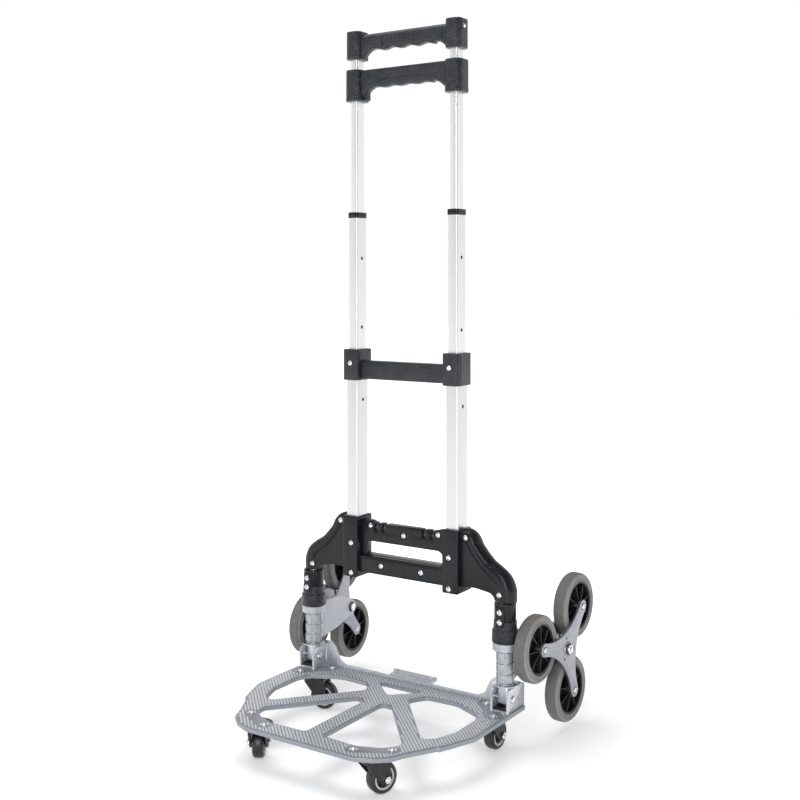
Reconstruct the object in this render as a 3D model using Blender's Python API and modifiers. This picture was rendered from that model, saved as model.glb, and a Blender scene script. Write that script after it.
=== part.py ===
"""A folding stair climbing trolley: toe plate on casters, three-wheel stars and a three-stage post.

Metres, +Z up, +X to the user's right seen from the front, toe plate towards -Y.
Every piece is modelled in the posts' own frame (Y = 0 on the posts' plane), then
POST_PLANE_Y moves the whole to the middle of its footprint.
"""

import math

import bmesh
import bpy
from mathutils import Matrix, Vector

# Overall layout
POST_PLANE_Y = 0.03275
POST_X = 0.085
LEG_X = 0.1635
LEG_Y = -0.0035
GAP = 0.0003

# Telescoping posts: outer width in X, depth in Y, wall, lowest and highest point
OUTER_POST = (0.020, 0.0275, 0.0015, 0.206, 0.531)
MIDDLE_POST = (0.016, 0.0232, 0.0013, 0.395, 0.7333)
INNER_POST = (0.0122, 0.0186, 0.0011, 0.560, 0.993)
POST_CORNER = 0.0022
LOCK_HOLE_RADIUS = 0.0024

# Clamps and handles
MIDDLE_CLAMP_LOW = 0.490
MIDDLE_CLAMP_TOP = 0.535
BASE_BOX_LOW = 0.2035
BASE_BOX_TOP = 0.2914
BASE_BOX_HALF_WIDTH = 0.0127
CLAMP_FRONT = 0.0195
SPLIT = 0.00015
TOP_HANDLE_LOW = 0.9588
TOP_HANDLE_TOP = 1.0
RELEASE_LOW = 0.8976
RELEASE_TOP = 0.9437

# Legs and stair wheel carriers
LEG_RADIUS = 0.008
LEG_LOW = 0.0625
LEG_TOP = 0.214
SOCKET_LOW = 0.1446
SOCKET_TOP = 0.2012
SLEEVE_LOW = 0.0915
SPLAY = math.radians(2.6)
STAR_REACH = 0.097
STAR_HEIGHT = 0.121
STAR_ARM = 0.0665
STAR_PHASE = {"right": math.radians(47.7), "left": math.radians(-48.0)}
STAR_INNER_PLATE = 0.014
STAR_OUTER_PLATE = 0.042
STAR_PLATE_THICKNESS = 0.002
TYRE_RADIUS = 0.0455
RIM_RADIUS = 0.0345
TYRE_INNER_FACE = 0.0185
TYRE_WIDTH = 0.020
STAR_AXLE_RADIUS = 0.004
WHEEL_AXLE_RADIUS = 0.003
WHEEL_STEPS = 20

# Toe plate and its hinge
PLATE_TOP = 0.0562
PLATE_THICKNESS = 0.0055
PIVOT_Y = -0.0065
PIVOT_Z = 0.0725
EAR_OUTSIDE = 0.0135
EAR_THICKNESS = 0.002
EAR_TOP = 0.0872

# Casters: swivel axis, and the direction in which the wheel trails, at rest
CASTER_WHEEL_RADIUS = 0.020
CASTER_WHEEL_WIDTH = 0.016
CASTER_TRAIL = 0.013
CASTERS = {
    "front_left": (-0.0927, -0.2149, math.radians(123.7)),
    "front_right": (0.0927, -0.2149, math.radians(69.6)),
    "rear_left": (-0.1478, -0.0170, math.radians(15.2)),
    "rear_right": (0.1478, -0.0170, math.radians(88.0)),
}

SIDES = {"left": -1, "right": 1}

for old in list(bpy.data.objects):
    bpy.data.objects.remove(old)


def new_collection(name):
    collection = bpy.data.collections.new(name)
    bpy.context.scene.collection.children.link(collection)
    return collection


PARTS = new_collection("stair_climbing_trolley")
CUTTERS = new_collection("trolley_cutters")


def new_material(name, color, roughness, metallic):
    material = bpy.data.materials.new(name)
    material.use_nodes = True
    shader = material.node_tree.nodes["Principled BSDF"]
    shader.inputs["Base Color"].default_value = (*color, 1.0)
    shader.inputs["Roughness"].default_value = roughness
    shader.inputs["Metallic"].default_value = metallic
    return material


ALUMINIUM = new_material("satin_aluminium", (0.80, 0.81, 0.83), 0.32, 1.0)
BLACK = new_material("black_plastic", (0.020, 0.022, 0.026), 0.42, 0.0)
CAST = new_material("cast_silver", (0.42, 0.44, 0.47), 0.45, 0.6)
PLATE = new_material("silver_paint", (0.50, 0.53, 0.58), 0.40, 0.5)
ZINC = new_material("bright_zinc", (0.75, 0.76, 0.78), 0.22, 1.0)
TYRE = new_material("grey_tyre", (0.27, 0.26, 0.25), 0.60, 0.0)
HUB = new_material("black_hub", (0.015, 0.015, 0.017), 0.38, 0.0)
STEEL = new_material("black_steel", (0.018, 0.018, 0.020), 0.35, 0.3)
CASTER_TYRE = new_material("caster_tyre", (0.012, 0.012, 0.014), 0.40, 0.0)


# ---------- modelling helpers ----------

def shade(mesh):
    mesh.shade_smooth()
    mesh.set_sharp_from_angle(angle=math.radians(35))


def add_helper(name, mesh, matrix=None):
    """A body that isn't a node yet: it waits among the cutters."""
    helper = bpy.data.objects.new(name, mesh)
    CUTTERS.objects.link(helper)
    helper.matrix_world = matrix or Matrix()
    helper.hide_render = True
    helper.display_type = "WIRE"
    shade(mesh)
    return helper


def make_node(body, name, material, parent):
    """Turn a helper body into a named, coloured piece under its parent empty."""
    body.name = name
    body.data.name = name
    CUTTERS.objects.unlink(body)
    PARTS.objects.link(body)
    body.hide_render = False
    body.display_type = "TEXTURED"
    body.data.materials.clear()
    body.data.materials.append(material)
    hold(body, parent)
    return body


def hold(child, parent):
    bpy.context.view_layer.update()
    child.parent = parent
    child.matrix_parent_inverse = parent.matrix_world.inverted()


def pivot(name, location, axis, parent=None):
    """An empty whose Z lies on a joint's axis."""
    empty = bpy.data.objects.new(name, None)
    PARTS.objects.link(empty)
    empty.matrix_world = facing(location, axis)
    empty.empty_display_size = 0.02
    if parent:
        hold(empty, parent)
    return empty


def facing(location, axis, roll_to=(0, 0, 1)):
    """Matrix at location whose Z runs along axis and whose Y leans towards roll_to."""
    z_axis = Vector(axis).normalized()
    y_hint = Vector(roll_to)
    if abs(z_axis.dot(y_hint)) > 0.99:
        y_hint = Vector((0, 1, 0))
    x_axis = y_hint.cross(z_axis).normalized()
    y_axis = z_axis.cross(x_axis)
    matrix = Matrix((x_axis, y_axis, z_axis)).transposed().to_4x4()
    return Matrix.Translation(location) @ matrix


FRONT_VIEW = Matrix(((1, 0, 0, 0), (0, 0, -1, 0), (0, 1, 0, 0), (0, 0, 0, 1)))
SIDE_VIEW = Matrix(((0, 0, 1, 0), (1, 0, 0, 0), (0, 1, 0, 0), (0, 0, 0, 1)))


def bevelled(body, width, segments=2, angle=40):
    bevel = body.modifiers.new("rounded_edges", "BEVEL")
    bevel.width = width
    bevel.segments = segments
    bevel.limit_method = "ANGLE"
    bevel.angle_limit = math.radians(angle)
    return body


def box(low, high, bevel=0.0):
    """A box between two corners, with its edges rounded where bevel is given."""
    mesh = bpy.data.meshes.new("box")
    shape = bmesh.new()
    bmesh.ops.create_cube(shape, size=1.0)
    low = Vector(low)
    high = Vector(high)
    for vertex in shape.verts:
        vertex.co = [low[i] + (vertex.co[i] + 0.5) * (high[i] - low[i]) for i in range(3)]
    shape.to_mesh(mesh)
    shape.free()
    body = add_helper("box", mesh)
    return bevelled(body, bevel) if bevel else body


def rounded(corners, steps=3):
    """Points of a closed outline whose corners (x, y, radius) are filleted."""
    points = []
    for i, (x, y, radius) in enumerate(corners):
        here = Vector((x, y))
        back = Vector(corners[i - 1][:2]) - here
        ahead = Vector(corners[(i + 1) % len(corners)][:2]) - here
        if radius == 0:
            points.append(here)
            continue
        half = back.angle(ahead) / 2
        reach = radius / math.tan(half)
        middle = (back.normalized() + ahead.normalized()).normalized()
        centre = here + middle * radius / math.sin(half)
        start = here + back.normalized() * reach - centre
        sweep = start.angle_signed(here + ahead.normalized() * reach - centre)
        for k in range(steps + 1):
            turn = Matrix.Rotation(-sweep * k / steps, 2)
            points.append(centre + turn @ start)
    return points


def arc(centre, radius, first, last, steps):
    """Points along an arc, angles in degrees."""
    angles = [math.radians(first + (last - first) * k / steps) for k in range(steps + 1)]
    return [(centre[0] + radius * math.cos(a), centre[1] + radius * math.sin(a)) for a in angles]


def prism(outlines, low, high, matrix=None):
    """Flat outlines (the first is the edge, the rest are holes) raised from low to high."""
    curve = bpy.data.curves.new("outline", "CURVE")
    curve.dimensions = "2D"
    curve.fill_mode = "BOTH"
    curve.extrude = (high - low) / 2
    for outline in outlines:
        spline = curve.splines.new("POLY")
        spline.points.add(len(outline) - 1)
        for point, place in zip(spline.points, outline):
            point.co = (place[0], place[1], 0, 1)
        spline.use_cyclic_u = True
    source = bpy.data.objects.new("outline", curve)
    bpy.context.scene.collection.objects.link(source)
    graph = bpy.context.evaluated_depsgraph_get()
    mesh = bpy.data.meshes.new_from_object(source.evaluated_get(graph))
    bpy.data.objects.remove(source)
    shape = bmesh.new()
    shape.from_mesh(mesh)
    bmesh.ops.remove_doubles(shape, verts=shape.verts, dist=1e-6)
    bmesh.ops.translate(shape, verts=shape.verts, vec=(0, 0, (low + high) / 2))
    bmesh.ops.recalc_face_normals(shape, faces=shape.faces)
    shape.to_mesh(mesh)
    shape.free()
    return add_helper("prism", mesh, matrix)


def front_prism(outlines, nearest, farthest):
    """Outlines drawn in X and Z, as thick as from Y = nearest to Y = farthest."""
    return prism(outlines, -farthest, -nearest, FRONT_VIEW)


def side_prism(outlines, low_x, high_x):
    """Outlines drawn in Y and Z, as thick as from low_x to high_x."""
    return prism(outlines, low_x, high_x, SIDE_VIEW)


def turned(profile, matrix, steps=16, ring=False):
    """Turn (radius, height) points about the matrix's Z. The outer side runs from top to bottom."""
    mesh = bpy.data.meshes.new("turned")
    count = len(profile)
    edges = [(i, i + 1) for i in range(count - 1)]
    if ring:
        edges.append((count - 1, 0))
    mesh.from_pydata([(radius, 0, height) for radius, height in profile], edges, [])
    body = add_helper("turned", mesh, matrix)
    screw = body.modifiers.new("turn", "SCREW")
    screw.steps = steps
    screw.render_steps = steps
    screw.use_merge_vertices = True
    screw.merge_threshold = 0.00001
    screw.use_smooth_shade = True
    return body


def rod(start, end, radius, steps=16):
    """A plain round bar between two points."""
    start = Vector(start)
    along = Vector(end) - start
    return turned([(0, along.length), (radius, along.length), (radius, 0), (0, 0)],
                  facing(start, along), steps)


def combine(body, others, operation):
    for other in others:
        boolean = body.modifiers.new(operation.lower(), "BOOLEAN")
        boolean.operation = operation
        boolean.solver = "EXACT"
        boolean.object = other
    return body


def join(body, *others):
    return combine(body, others, "UNION")


def cut(body, *others):
    return combine(body, others, "DIFFERENCE")


def use_manifold_solver(body):
    """The exact solver leaves doubled edges where this body's many flush faces meet."""
    for modifier in body.modifiers:
        if modifier.type == "BOOLEAN":
            modifier.solver = "MANIFOLD"
    return body


def rectangle(width, depth, radius, centre=(0, 0), steps=3):
    x = width / 2
    y = depth / 2
    corners = [(x, y, radius), (-x, y, radius), (-x, -y, radius), (x, -y, radius)]
    return rounded([(centre[0] + a, centre[1] + b, r) for a, b, r in corners], steps)


# ---------- bodies that move ----------

ORIGIN = pivot("trolley_origin", (0, 0, 0), (0, 0, 1))
TOE_PIVOT = pivot("toe_plate_pivot", (0, PIVOT_Y, PIVOT_Z), (-1, 0, 0), ORIGIN)
MIDDLE_STAGE = pivot("middle_stage", (0, 0, MIDDLE_POST[3]), (0, 0, 1), ORIGIN)
INNER_STAGE = pivot("inner_stage", (0, 0, INNER_POST[3]), (0, 0, 1), MIDDLE_STAGE)
RELEASE_STAGE = pivot("release_stage", (0, 0, RELEASE_LOW), (0, 0, 1), INNER_STAGE)


# ---------- posts ----------

def post_tube(name, size, side, material, parent, hole_heights=()):
    width, depth, wall, low, high = size
    centre = (side * POST_X, 0)
    outer = rectangle(width, depth, POST_CORNER, centre)
    inner = rectangle(width - 2 * wall, depth - 2 * wall, POST_CORNER - wall / 2, centre)
    tube = prism([outer, inner], low, high)
    for height in hole_heights:
        reach = width / 2 + 0.002
        start = (centre[0] - reach, 0, height)
        end = (centre[0] + reach, 0, height)
        cut(tube, rod(start, end, LOCK_HOLE_RADIUS, 12))
    return make_node(tube, name, material, parent)


def post_opening(size, side, low, high, clearance):
    """The cutter for a passage around a post."""
    outline = rectangle(size[0] + 2 * clearance, size[1] + 2 * clearance, POST_CORNER, (side * POST_X, 0))
    return prism([outline], low, high)


def stage_ring(side):
    """The end ring on the middle post, which guides the inner post."""
    low = MIDDLE_POST[4] - 0.0063
    step = MIDDLE_POST[4] + GAP
    outline = rectangle(MIDDLE_POST[0] + 0.0016, MIDDLE_POST[1] + 0.0016, 0.003, (side * POST_X, 0))
    ring = prism([outline], low, step + 0.0016)
    return cut(ring, post_opening(MIDDLE_POST, side, low - 0.001, step, GAP),
               post_opening(INNER_POST, side, low, step + 0.003, GAP))


def lock_rod(side):
    """A rod inside the inner post, with the lock block at its foot."""
    x = side * POST_X
    low = INNER_POST[3] + 0.002
    block = box((x - 0.0042, -0.0070, low), (x + 0.0042, 0.0070, low + 0.020), 0.0008)
    return join(block, rod((x, 0, low + 0.015), (x, 0, RELEASE_TOP - 0.008), 0.0018, 12))


for side_name, side in SIDES.items():
    post_tube(f"outer_post_{side_name}", OUTER_POST, side, ALUMINIUM, ORIGIN, [0.461])
    post_tube(f"middle_post_{side_name}", MIDDLE_POST, side, ALUMINIUM, MIDDLE_STAGE, [0.567, 0.668])
    post_tube(f"inner_post_{side_name}", INNER_POST, side, ALUMINIUM, INNER_STAGE)
    make_node(stage_ring(side), f"stage_ring_{side_name}", BLACK, MIDDLE_STAGE)
    make_node(lock_rod(side), f"lock_rod_{side_name}", ZINC, RELEASE_STAGE)


# ---------- middle clamp ----------

def middle_clamp():
    depth = 0.010
    clamp = box((-POST_X, -depth, 0.492), (POST_X, depth, 0.5165), 0.002)
    for side in SIDES.values():
        x = side * POST_X
        outline = rectangle(0.027, 0.038, 0.005, (x, 0), 4)
        join(clamp, prism([outline], MIDDLE_CLAMP_LOW, MIDDLE_CLAMP_TOP))
        cut(clamp, post_opening(OUTER_POST, side, MIDDLE_CLAMP_LOW - 0.002, OUTER_POST[4] + GAP, GAP))
        cut(clamp, post_opening(MIDDLE_POST, side, 0.50, MIDDLE_CLAMP_TOP + 0.002, GAP))
    return clamp


make_node(middle_clamp(), "middle_clamp", BLACK, ORIGIN)


# ---------- base clamp ----------

SHOULDER = [
    (0.092, 0.2900, 0), (0.1165, 0.2935, 0.0055), (0.1225, 0.2790, 0.012), (0.1370, 0.2560, 0.03),
    (0.1640, 0.2370, 0.02), (0.1770, 0.2200, 0.016), (0.1775, 0.2020, 0.0005), (0.1495, 0.2020, 0.0005),
    (0.1480, 0.2110, 0.012), (0.1200, 0.2155, 0.02), (0.092, 0.2135, 0),
]
HAND_SLOT = [(-0.0665, 0.2365, 0.006), (0.0665, 0.2365, 0.006), (0.0665, 0.2565, 0.0095),
             (-0.0665, 0.2565, 0.0095)]
PANEL = [(-0.075, 0.2120, 0), (0.075, 0.2120, 0), (0.075, 0.2860, 0), (0.058, 0.2860, 0.004),
         (0.052, 0.2840, 0.004), (-0.052, 0.2840, 0.004), (-0.058, 0.2860, 0.004), (-0.075, 0.2860, 0)]
NOTCH_X = (0.0345, 0.0480)


def notch_cutter(x):
    """A slot with a round seat, which leans towards the middle of the clamp."""
    lean = math.copysign(0.0035, -x)
    width = 0.0017
    points = [(x - width, 0.2755), (x - width + lean, 0.2900), (x + width + lean, 0.2900), (x + width, 0.2755)]
    slot = front_prism([points], -0.03, 0.03)
    seat = rod((x, -0.03, 0.2745), (x, 0.03, 0.2745), 0.0028, 12)
    return slot, seat


def base_clamp_half(sign):
    """One half of the base moulding. sign is -1 for the front half and +1 for the rear half."""

    past_split = -sign * 0.006

    def slab(outlines, depth):
        return front_prism(outlines, *sorted((past_split, sign * depth)))

    def block(low_x, high_x, low_z, high_z, depth, bevel):
        near, far = sorted((past_split, sign * depth))
        return box((low_x, near, low_z), (high_x, far, high_z), bevel)

    half = slab([rounded(PANEL), rounded(HAND_SLOT)], 0.0063)
    join(half, block(-0.074, 0.074, 0.2110, 0.2360, 0.0138, 0.0022))
    for side in SIDES.values():
        x = side * POST_X
        outline = [(side * a, b, r) for a, b, r in SHOULDER]
        join(half, bevelled(slab([rounded(outline)], 0.0135), 0.0045, 1))
        join(half, block(x - BASE_BOX_HALF_WIDTH, x + BASE_BOX_HALF_WIDTH, BASE_BOX_LOW, BASE_BOX_TOP,
                         CLAMP_FRONT, 0.0018))
    for side in SIDES.values():
        cut(half, post_opening(OUTER_POST, side, OUTER_POST[3] - GAP, BASE_BOX_TOP + 0.005, GAP))
        cut(half, rod((side * LEG_X, LEG_Y, 0.19), (side * LEG_X, LEG_Y, LEG_TOP + GAP), LEG_RADIUS + GAP))
        for notch_x in NOTCH_X:
            cut(half, *notch_cutter(side * notch_x))
    near, far = sorted((sign * SPLIT, -sign * 0.05))
    return use_manifold_solver(cut(half, box((-0.25, near, 0.15), (0.25, far, 0.35))))


make_node(base_clamp_half(-1), "base_clamp_front", BLACK, ORIGIN)
make_node(base_clamp_half(1), "base_clamp_rear", BLACK, ORIGIN)


# ---------- handles ----------

def handle_outline(ends, top, shoulder_z, grip_z, arch, wave, half_grip, fingers):
    """A straight top edge, arched ends and a grip whose lower edge has finger waves."""
    points = [(-ends, top), (ends, top), (ends, shoulder_z)]
    right = arc((half_grip, shoulder_z), 1.0, 0, 90, 5)
    for x, z in right:
        points.append((half_grip + (x - half_grip) * arch, shoulder_z + (z - shoulder_z) * (grip_z - shoulder_z)))
    steps = fingers * 4
    for k in range(1, steps):
        x = half_grip - 2 * half_grip * k / steps
        points.append((x, grip_z - wave * math.sin(math.pi * fingers * k / steps) ** 2))
    for x, z in reversed(right):
        points.append((-half_grip - (x - half_grip) * arch, shoulder_z + (z - shoulder_z) * (grip_z - shoulder_z)))
    points.append((-ends, shoulder_z))
    return points


def socket(x, width, depth, low, high, flare=0.0):
    """A rounded upright socket. A flare makes its foot wider."""
    body = bevelled(prism([rectangle(width, depth, width * 0.38, (x, 0), 4)], low, high), 0.0012, 1)
    if flare:
        foot = rectangle(width + flare, depth + flare, width * 0.40, (x, 0), 4)
        join(body, prism([foot], low - GAP, low + 0.008))
    return body


def top_handle():
    outline = handle_outline(0.077, 0.995, 0.9605, 0.9712, 0.012, 0.0042, 0.058, 4)
    handle = bevelled(front_prism([outline], -0.009, 0.009), 0.003, 1, 50)
    for side in SIDES.values():
        join(handle, socket(side * POST_X, 0.0255, 0.031, TOP_HANDLE_LOW, TOP_HANDLE_TOP))
    for side in SIDES.values():
        cut(handle, post_opening(INNER_POST, side, TOP_HANDLE_LOW - 0.002, INNER_POST[4] + GAP, GAP))
    return use_manifold_solver(handle)


def release_handle():
    outline = handle_outline(0.077, 0.942, 0.9000, 0.9172, 0.016, 0.0025, 0.058, 4)
    handle = bevelled(front_prism([outline], -0.009, 0.009), 0.003, 1, 50)
    for side in SIDES.values():
        join(handle, socket(side * POST_X, 0.0270, 0.0325, RELEASE_LOW, RELEASE_TOP, 0.0016))
        x = side * 0.0665
        join(handle, box((x - 0.0035, -0.006, 0.8965), (x + 0.0035, 0.006, 0.9185), 0.0008))
    for side in SIDES.values():
        cut(handle, post_opening(INNER_POST, side, RELEASE_LOW - 0.002, RELEASE_TOP + 0.002, GAP))
    return use_manifold_solver(handle)


make_node(top_handle(), "top_handle", BLACK, INNER_STAGE)
make_node(release_handle(), "release_handle", BLACK, RELEASE_STAGE)


# ---------- legs ----------

def leg_tube(side):
    """The steel leg, stepped below the sleeve, with a cross hole for the hinge pin."""
    step = SLEEVE_LOW - 0.0028
    slim = 0.0070
    profile = [(0, LEG_TOP), (LEG_RADIUS, LEG_TOP), (LEG_RADIUS, step), (slim, step),
               (slim, LEG_LOW + 0.001), (slim - 0.001, LEG_LOW), (0, LEG_LOW)]
    leg = turned(profile, Matrix.Translation((side * LEG_X, LEG_Y, 0)))
    reach = 0.012
    start = (side * LEG_X - reach, PIVOT_Y, PIVOT_Z)
    end = (side * LEG_X + reach, PIVOT_Y, PIVOT_Z)
    return cut(leg, rod(start, end, 0.0033, 16))


def leg_socket(side):
    """The black sleeve with a flared skirt and a flat boss for two rivets."""
    bore = LEG_RADIUS + GAP
    profile = [(bore, SOCKET_TOP - GAP), (0.0150, SOCKET_TOP - GAP), (0.0150, 0.1785), (0.0156, 0.1780),
               (0.0160, 0.1665), (0.0171, 0.1655), (0.0174, SOCKET_LOW), (bore, SOCKET_LOW)]
    body = turned(profile, Matrix.Translation((side * LEG_X, LEG_Y, 0)), 20, ring=True)
    boss_x = side * LEG_X
    boss = box((boss_x - 0.0065, -0.0200, 0.1700), (boss_x + 0.0065, -0.0130, 0.1975), 0.0012)
    return join(body, boss)


def flange_washer(side):
    bore = LEG_RADIUS + GAP
    low = SLEEVE_LOW - 0.0019
    high = SLEEVE_LOW - GAP
    profile = [(bore, high), (0.0173, high), (0.0173, low), (bore, low)]
    return turned(profile, Matrix.Translation((side * LEG_X, LEG_Y, 0)), 20, ring=True)


def hinge_pin(side):
    """A shouldered rivet through both ears and the leg."""
    grip = EAR_OUTSIDE + GAP
    end = grip + 0.0018
    profile = [(0, end), (0.0035, end), (0.0050, grip + 0.0006), (0.0050, grip), (0.0030, grip),
               (0.0030, -grip), (0.0050, -grip), (0.0050, -grip - 0.0006), (0.0035, -end), (0, -end)]
    return turned(profile, facing((side * LEG_X, PIVOT_Y, PIVOT_Z), (1, 0, 0)), 12)


for side_name, side in SIDES.items():
    make_node(leg_tube(side), f"leg_tube_{side_name}", ZINC, ORIGIN)
    make_node(leg_socket(side), f"leg_socket_{side_name}", BLACK, ORIGIN)
    make_node(flange_washer(side), f"flange_washer_{side_name}", ZINC, ORIGIN)
    make_node(hinge_pin(side), f"hinge_pin_{side_name}", ZINC, TOE_PIVOT)


# ---------- stair wheel carriers and stars ----------

def carrier_frame(side):
    """Matrix at the leg's foot: X runs rearwards along the web, Y up, Z outwards along the star's axle."""
    outwards = Vector((side * math.cos(SPLAY), -math.sin(SPLAY), 0))
    rearwards = Vector((side * math.sin(SPLAY), math.cos(SPLAY), 0))
    matrix = Matrix((rearwards, Vector((0, 0, 1)), outwards)).transposed().to_4x4()
    return Matrix.Translation((side * LEG_X, LEG_Y, 0)) @ matrix


WEB = [(0.010, 0.1440, 0), (0.0200, 0.1440, 0.001), (0.0215, 0.1470, 0.002), (0.0620, 0.1460, 0.02),
       (0.0905, 0.1370, 0.014), (0.1105, 0.1265, 0.0125), (0.1080, 0.1090, 0.0125), (0.0880, 0.1065, 0.012),
       (0.0600, 0.0990, 0.02), (0.0130, 0.0930, 0.001), (0.010, 0.0930, 0)]


def star_carrier(side):
    """The cast sleeve on the leg with the web that holds the star's axle."""
    bore = LEG_RADIUS + GAP
    sleeve_radius = 0.0122
    profile = [(bore, 0.1443), (0.01735, 0.1443), (0.01735, 0.1372), (sleeve_radius, 0.1365),
               (sleeve_radius, SLEEVE_LOW), (bore, SLEEVE_LOW)]
    carrier = turned(profile, Matrix.Translation((side * LEG_X, LEG_Y, 0)), 20, ring=True)
    frame = carrier_frame(side)
    web = bevelled(prism([rounded(WEB)], -0.0035, 0.0035, frame), 0.001, 1)
    hub = frame @ Matrix.Translation((STAR_REACH, STAR_HEIGHT, 0))
    boss_top = STAR_INNER_PLATE - GAP
    boss = turned([(0, boss_top), (0.0085, boss_top), (0.0105, 0.0), (0, 0.0)], hub)
    join(carrier, web, boss)
    clear = turned([(0, 0.05), (STAR_AXLE_RADIUS + GAP, 0.05), (STAR_AXLE_RADIUS + GAP, -0.05), (0, -0.05)], hub)
    leg_room = rod((side * LEG_X, LEG_Y, 0.05), (side * LEG_X, LEG_Y, 0.2), bore, 20)
    return cut(carrier, clear, leg_room)


def star_axle(side):
    """The long bolt through the carrier and the star, with its head inside and its nut outside."""
    hub = carrier_frame(side) @ Matrix.Translation((STAR_REACH, STAR_HEIGHT, 0))
    nut_low = STAR_OUTER_PLATE + STAR_PLATE_THICKNESS + GAP
    nut_high = nut_low + 0.0042
    shank = STAR_AXLE_RADIUS
    profile = [(0, nut_high + 0.0015), (shank, nut_high + 0.0010), (shank, nut_high), (0.0065, nut_high),
               (0.0065, nut_low), (shank, nut_low), (shank, -0.0038), (0.0062, -0.0038), (0.0052, -0.0072),
               (0, -0.0078)]
    return turned(profile, hub, 16)


def star_outline():
    """Three arms with round ends, joined by hollow arcs that touch them."""
    end_radius = 0.0093
    waist = 0.0245
    distance = (STAR_ARM ** 2 - (waist - end_radius) ** 2) / (STAR_ARM - 2 * (waist - end_radius))
    hollow_radius = distance - waist
    hollow = Vector((distance * math.cos(math.pi / 3), distance * math.sin(math.pi / 3)))
    contact = math.degrees(math.atan2(hollow.y, hollow.x - STAR_ARM))
    into_hollow = math.degrees(math.atan2(-hollow.y, STAR_ARM - hollow.x)) % 360
    sector = arc((STAR_ARM, 0), end_radius, -contact, contact, 8)
    sector += arc(hollow, hollow_radius, into_hollow, 480 - into_hollow, 8)[1:-1]
    points = []
    for arm in range(3):
        turn = Matrix.Rotation(2 * math.pi * arm / 3, 2)
        points += [turn @ Vector(point) for point in sector]
    return points


def star_plate(frame, low):
    return prism([star_outline()], low, low + STAR_PLATE_THICKNESS, frame)


def arm_place(arm):
    return Matrix.Rotation(2 * math.pi * arm / 3, 4, "Z") @ Matrix.Translation((STAR_ARM, 0, 0))


def star_inner_plate(frame):
    """The plate beside the carrier, with the spacer tube and the three wheel axles fixed to it."""
    top = STAR_OUTER_PLATE - GAP
    low = STAR_INNER_PLATE + STAR_PLATE_THICKNESS / 2
    plate = star_plate(frame, STAR_INNER_PLATE)
    join(plate, turned([(0, top), (0.008, top), (0.008, low), (0, low)], frame))
    for arm in range(3):
        stub = [(0, top), (WHEEL_AXLE_RADIUS, top), (WHEEL_AXLE_RADIUS, low), (0, low)]
        join(plate, turned(stub, frame @ arm_place(arm), 12))
    return cut(plate, star_bore(frame))


def star_bore(frame):
    radius = STAR_AXLE_RADIUS + GAP
    return turned([(0, 0.06), (radius, 0.06), (radius, 0.0), (0, 0.0)], frame)


def star_outer_plate(frame):
    """The outside plate, with the three rivet heads that close the wheel axles."""
    plate = star_plate(frame, STAR_OUTER_PLATE)
    top = STAR_OUTER_PLATE + STAR_PLATE_THICKNESS
    for arm in range(3):
        head = [(0, top + 0.0014), (0.0024, top + 0.0012), (0.0036, top - 0.0005), (0, top - 0.0005)]
        join(plate, turned(head, frame @ arm_place(arm), 12))
    return cut(plate, star_bore(frame))


def tyre(frame):
    """A solid grey tyre with rounded shoulders."""
    low = TYRE_INNER_FACE
    high = low + TYRE_WIDTH
    shoulder = 0.0040
    profile = [(RIM_RADIUS, high)]
    for x, y in arc((TYRE_RADIUS - shoulder, high - shoulder), shoulder, 90, 0, 2):
        profile.append((x, y))
    for x, y in arc((TYRE_RADIUS - shoulder, low + shoulder), shoulder, 0, -90, 2):
        profile.append((x, y))
    profile.append((RIM_RADIUS, low))
    return turned(profile, frame, WHEEL_STEPS, ring=True)


def hub(frame):
    """The moulded wheel centre: an outer band, a thin web and a boss on the axle."""
    low = TYRE_INNER_FACE + 0.0012
    high = TYRE_INNER_FACE + TYRE_WIDTH - 0.0012
    middle = (low + high) / 2
    band = RIM_RADIUS - GAP
    bore = WHEEL_AXLE_RADIUS + GAP
    boss_low = STAR_INNER_PLATE + STAR_PLATE_THICKNESS + GAP
    boss_high = STAR_OUTER_PLATE - GAP
    profile = [(bore, boss_high), (0.0065, boss_high), (0.0080, middle + 0.0016), (band - 0.0025, middle + 0.0016),
               (band - 0.0025, high), (band, high), (band, low), (band - 0.0025, low),
               (band - 0.0025, middle - 0.0016), (0.0080, middle - 0.0016), (0.0065, boss_low), (bore, boss_low)]
    return turned(profile, frame, WHEEL_STEPS, ring=True)


WHEEL_NUMBERS = (1, 2, 3)

for side_name, side in SIDES.items():
    make_node(star_carrier(side), f"star_carrier_{side_name}", CAST, ORIGIN)
    make_node(star_axle(side), f"star_axle_{side_name}", ZINC, ORIGIN)
    hub_frame = carrier_frame(side) @ Matrix.Translation((STAR_REACH, STAR_HEIGHT, 0))
    star_frame = hub_frame @ Matrix.Rotation(STAR_PHASE[side_name], 4, "Z")
    star_pivot = pivot(f"star_{side_name}", hub_frame.translation, hub_frame.col[2].xyz, ORIGIN)
    make_node(star_inner_plate(star_frame), f"star_inner_plate_{side_name}", ZINC, star_pivot)
    make_node(star_outer_plate(star_frame), f"star_outer_plate_{side_name}", ZINC, star_pivot)
    for number in WHEEL_NUMBERS:
        wheel_frame = star_frame @ arm_place(number - 1)
        wheel_name = f"{side_name}_{number}"
        wheel_pivot = pivot(f"stair_wheel_{wheel_name}", wheel_frame.translation, wheel_frame.col[2].xyz,
                            star_pivot)
        make_node(tyre(wheel_frame), f"tyre_{wheel_name}", TYRE, wheel_pivot)
        make_node(hub(wheel_frame), f"hub_{wheel_name}", HUB, wheel_pivot)


# ---------- toe plate ----------

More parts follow.
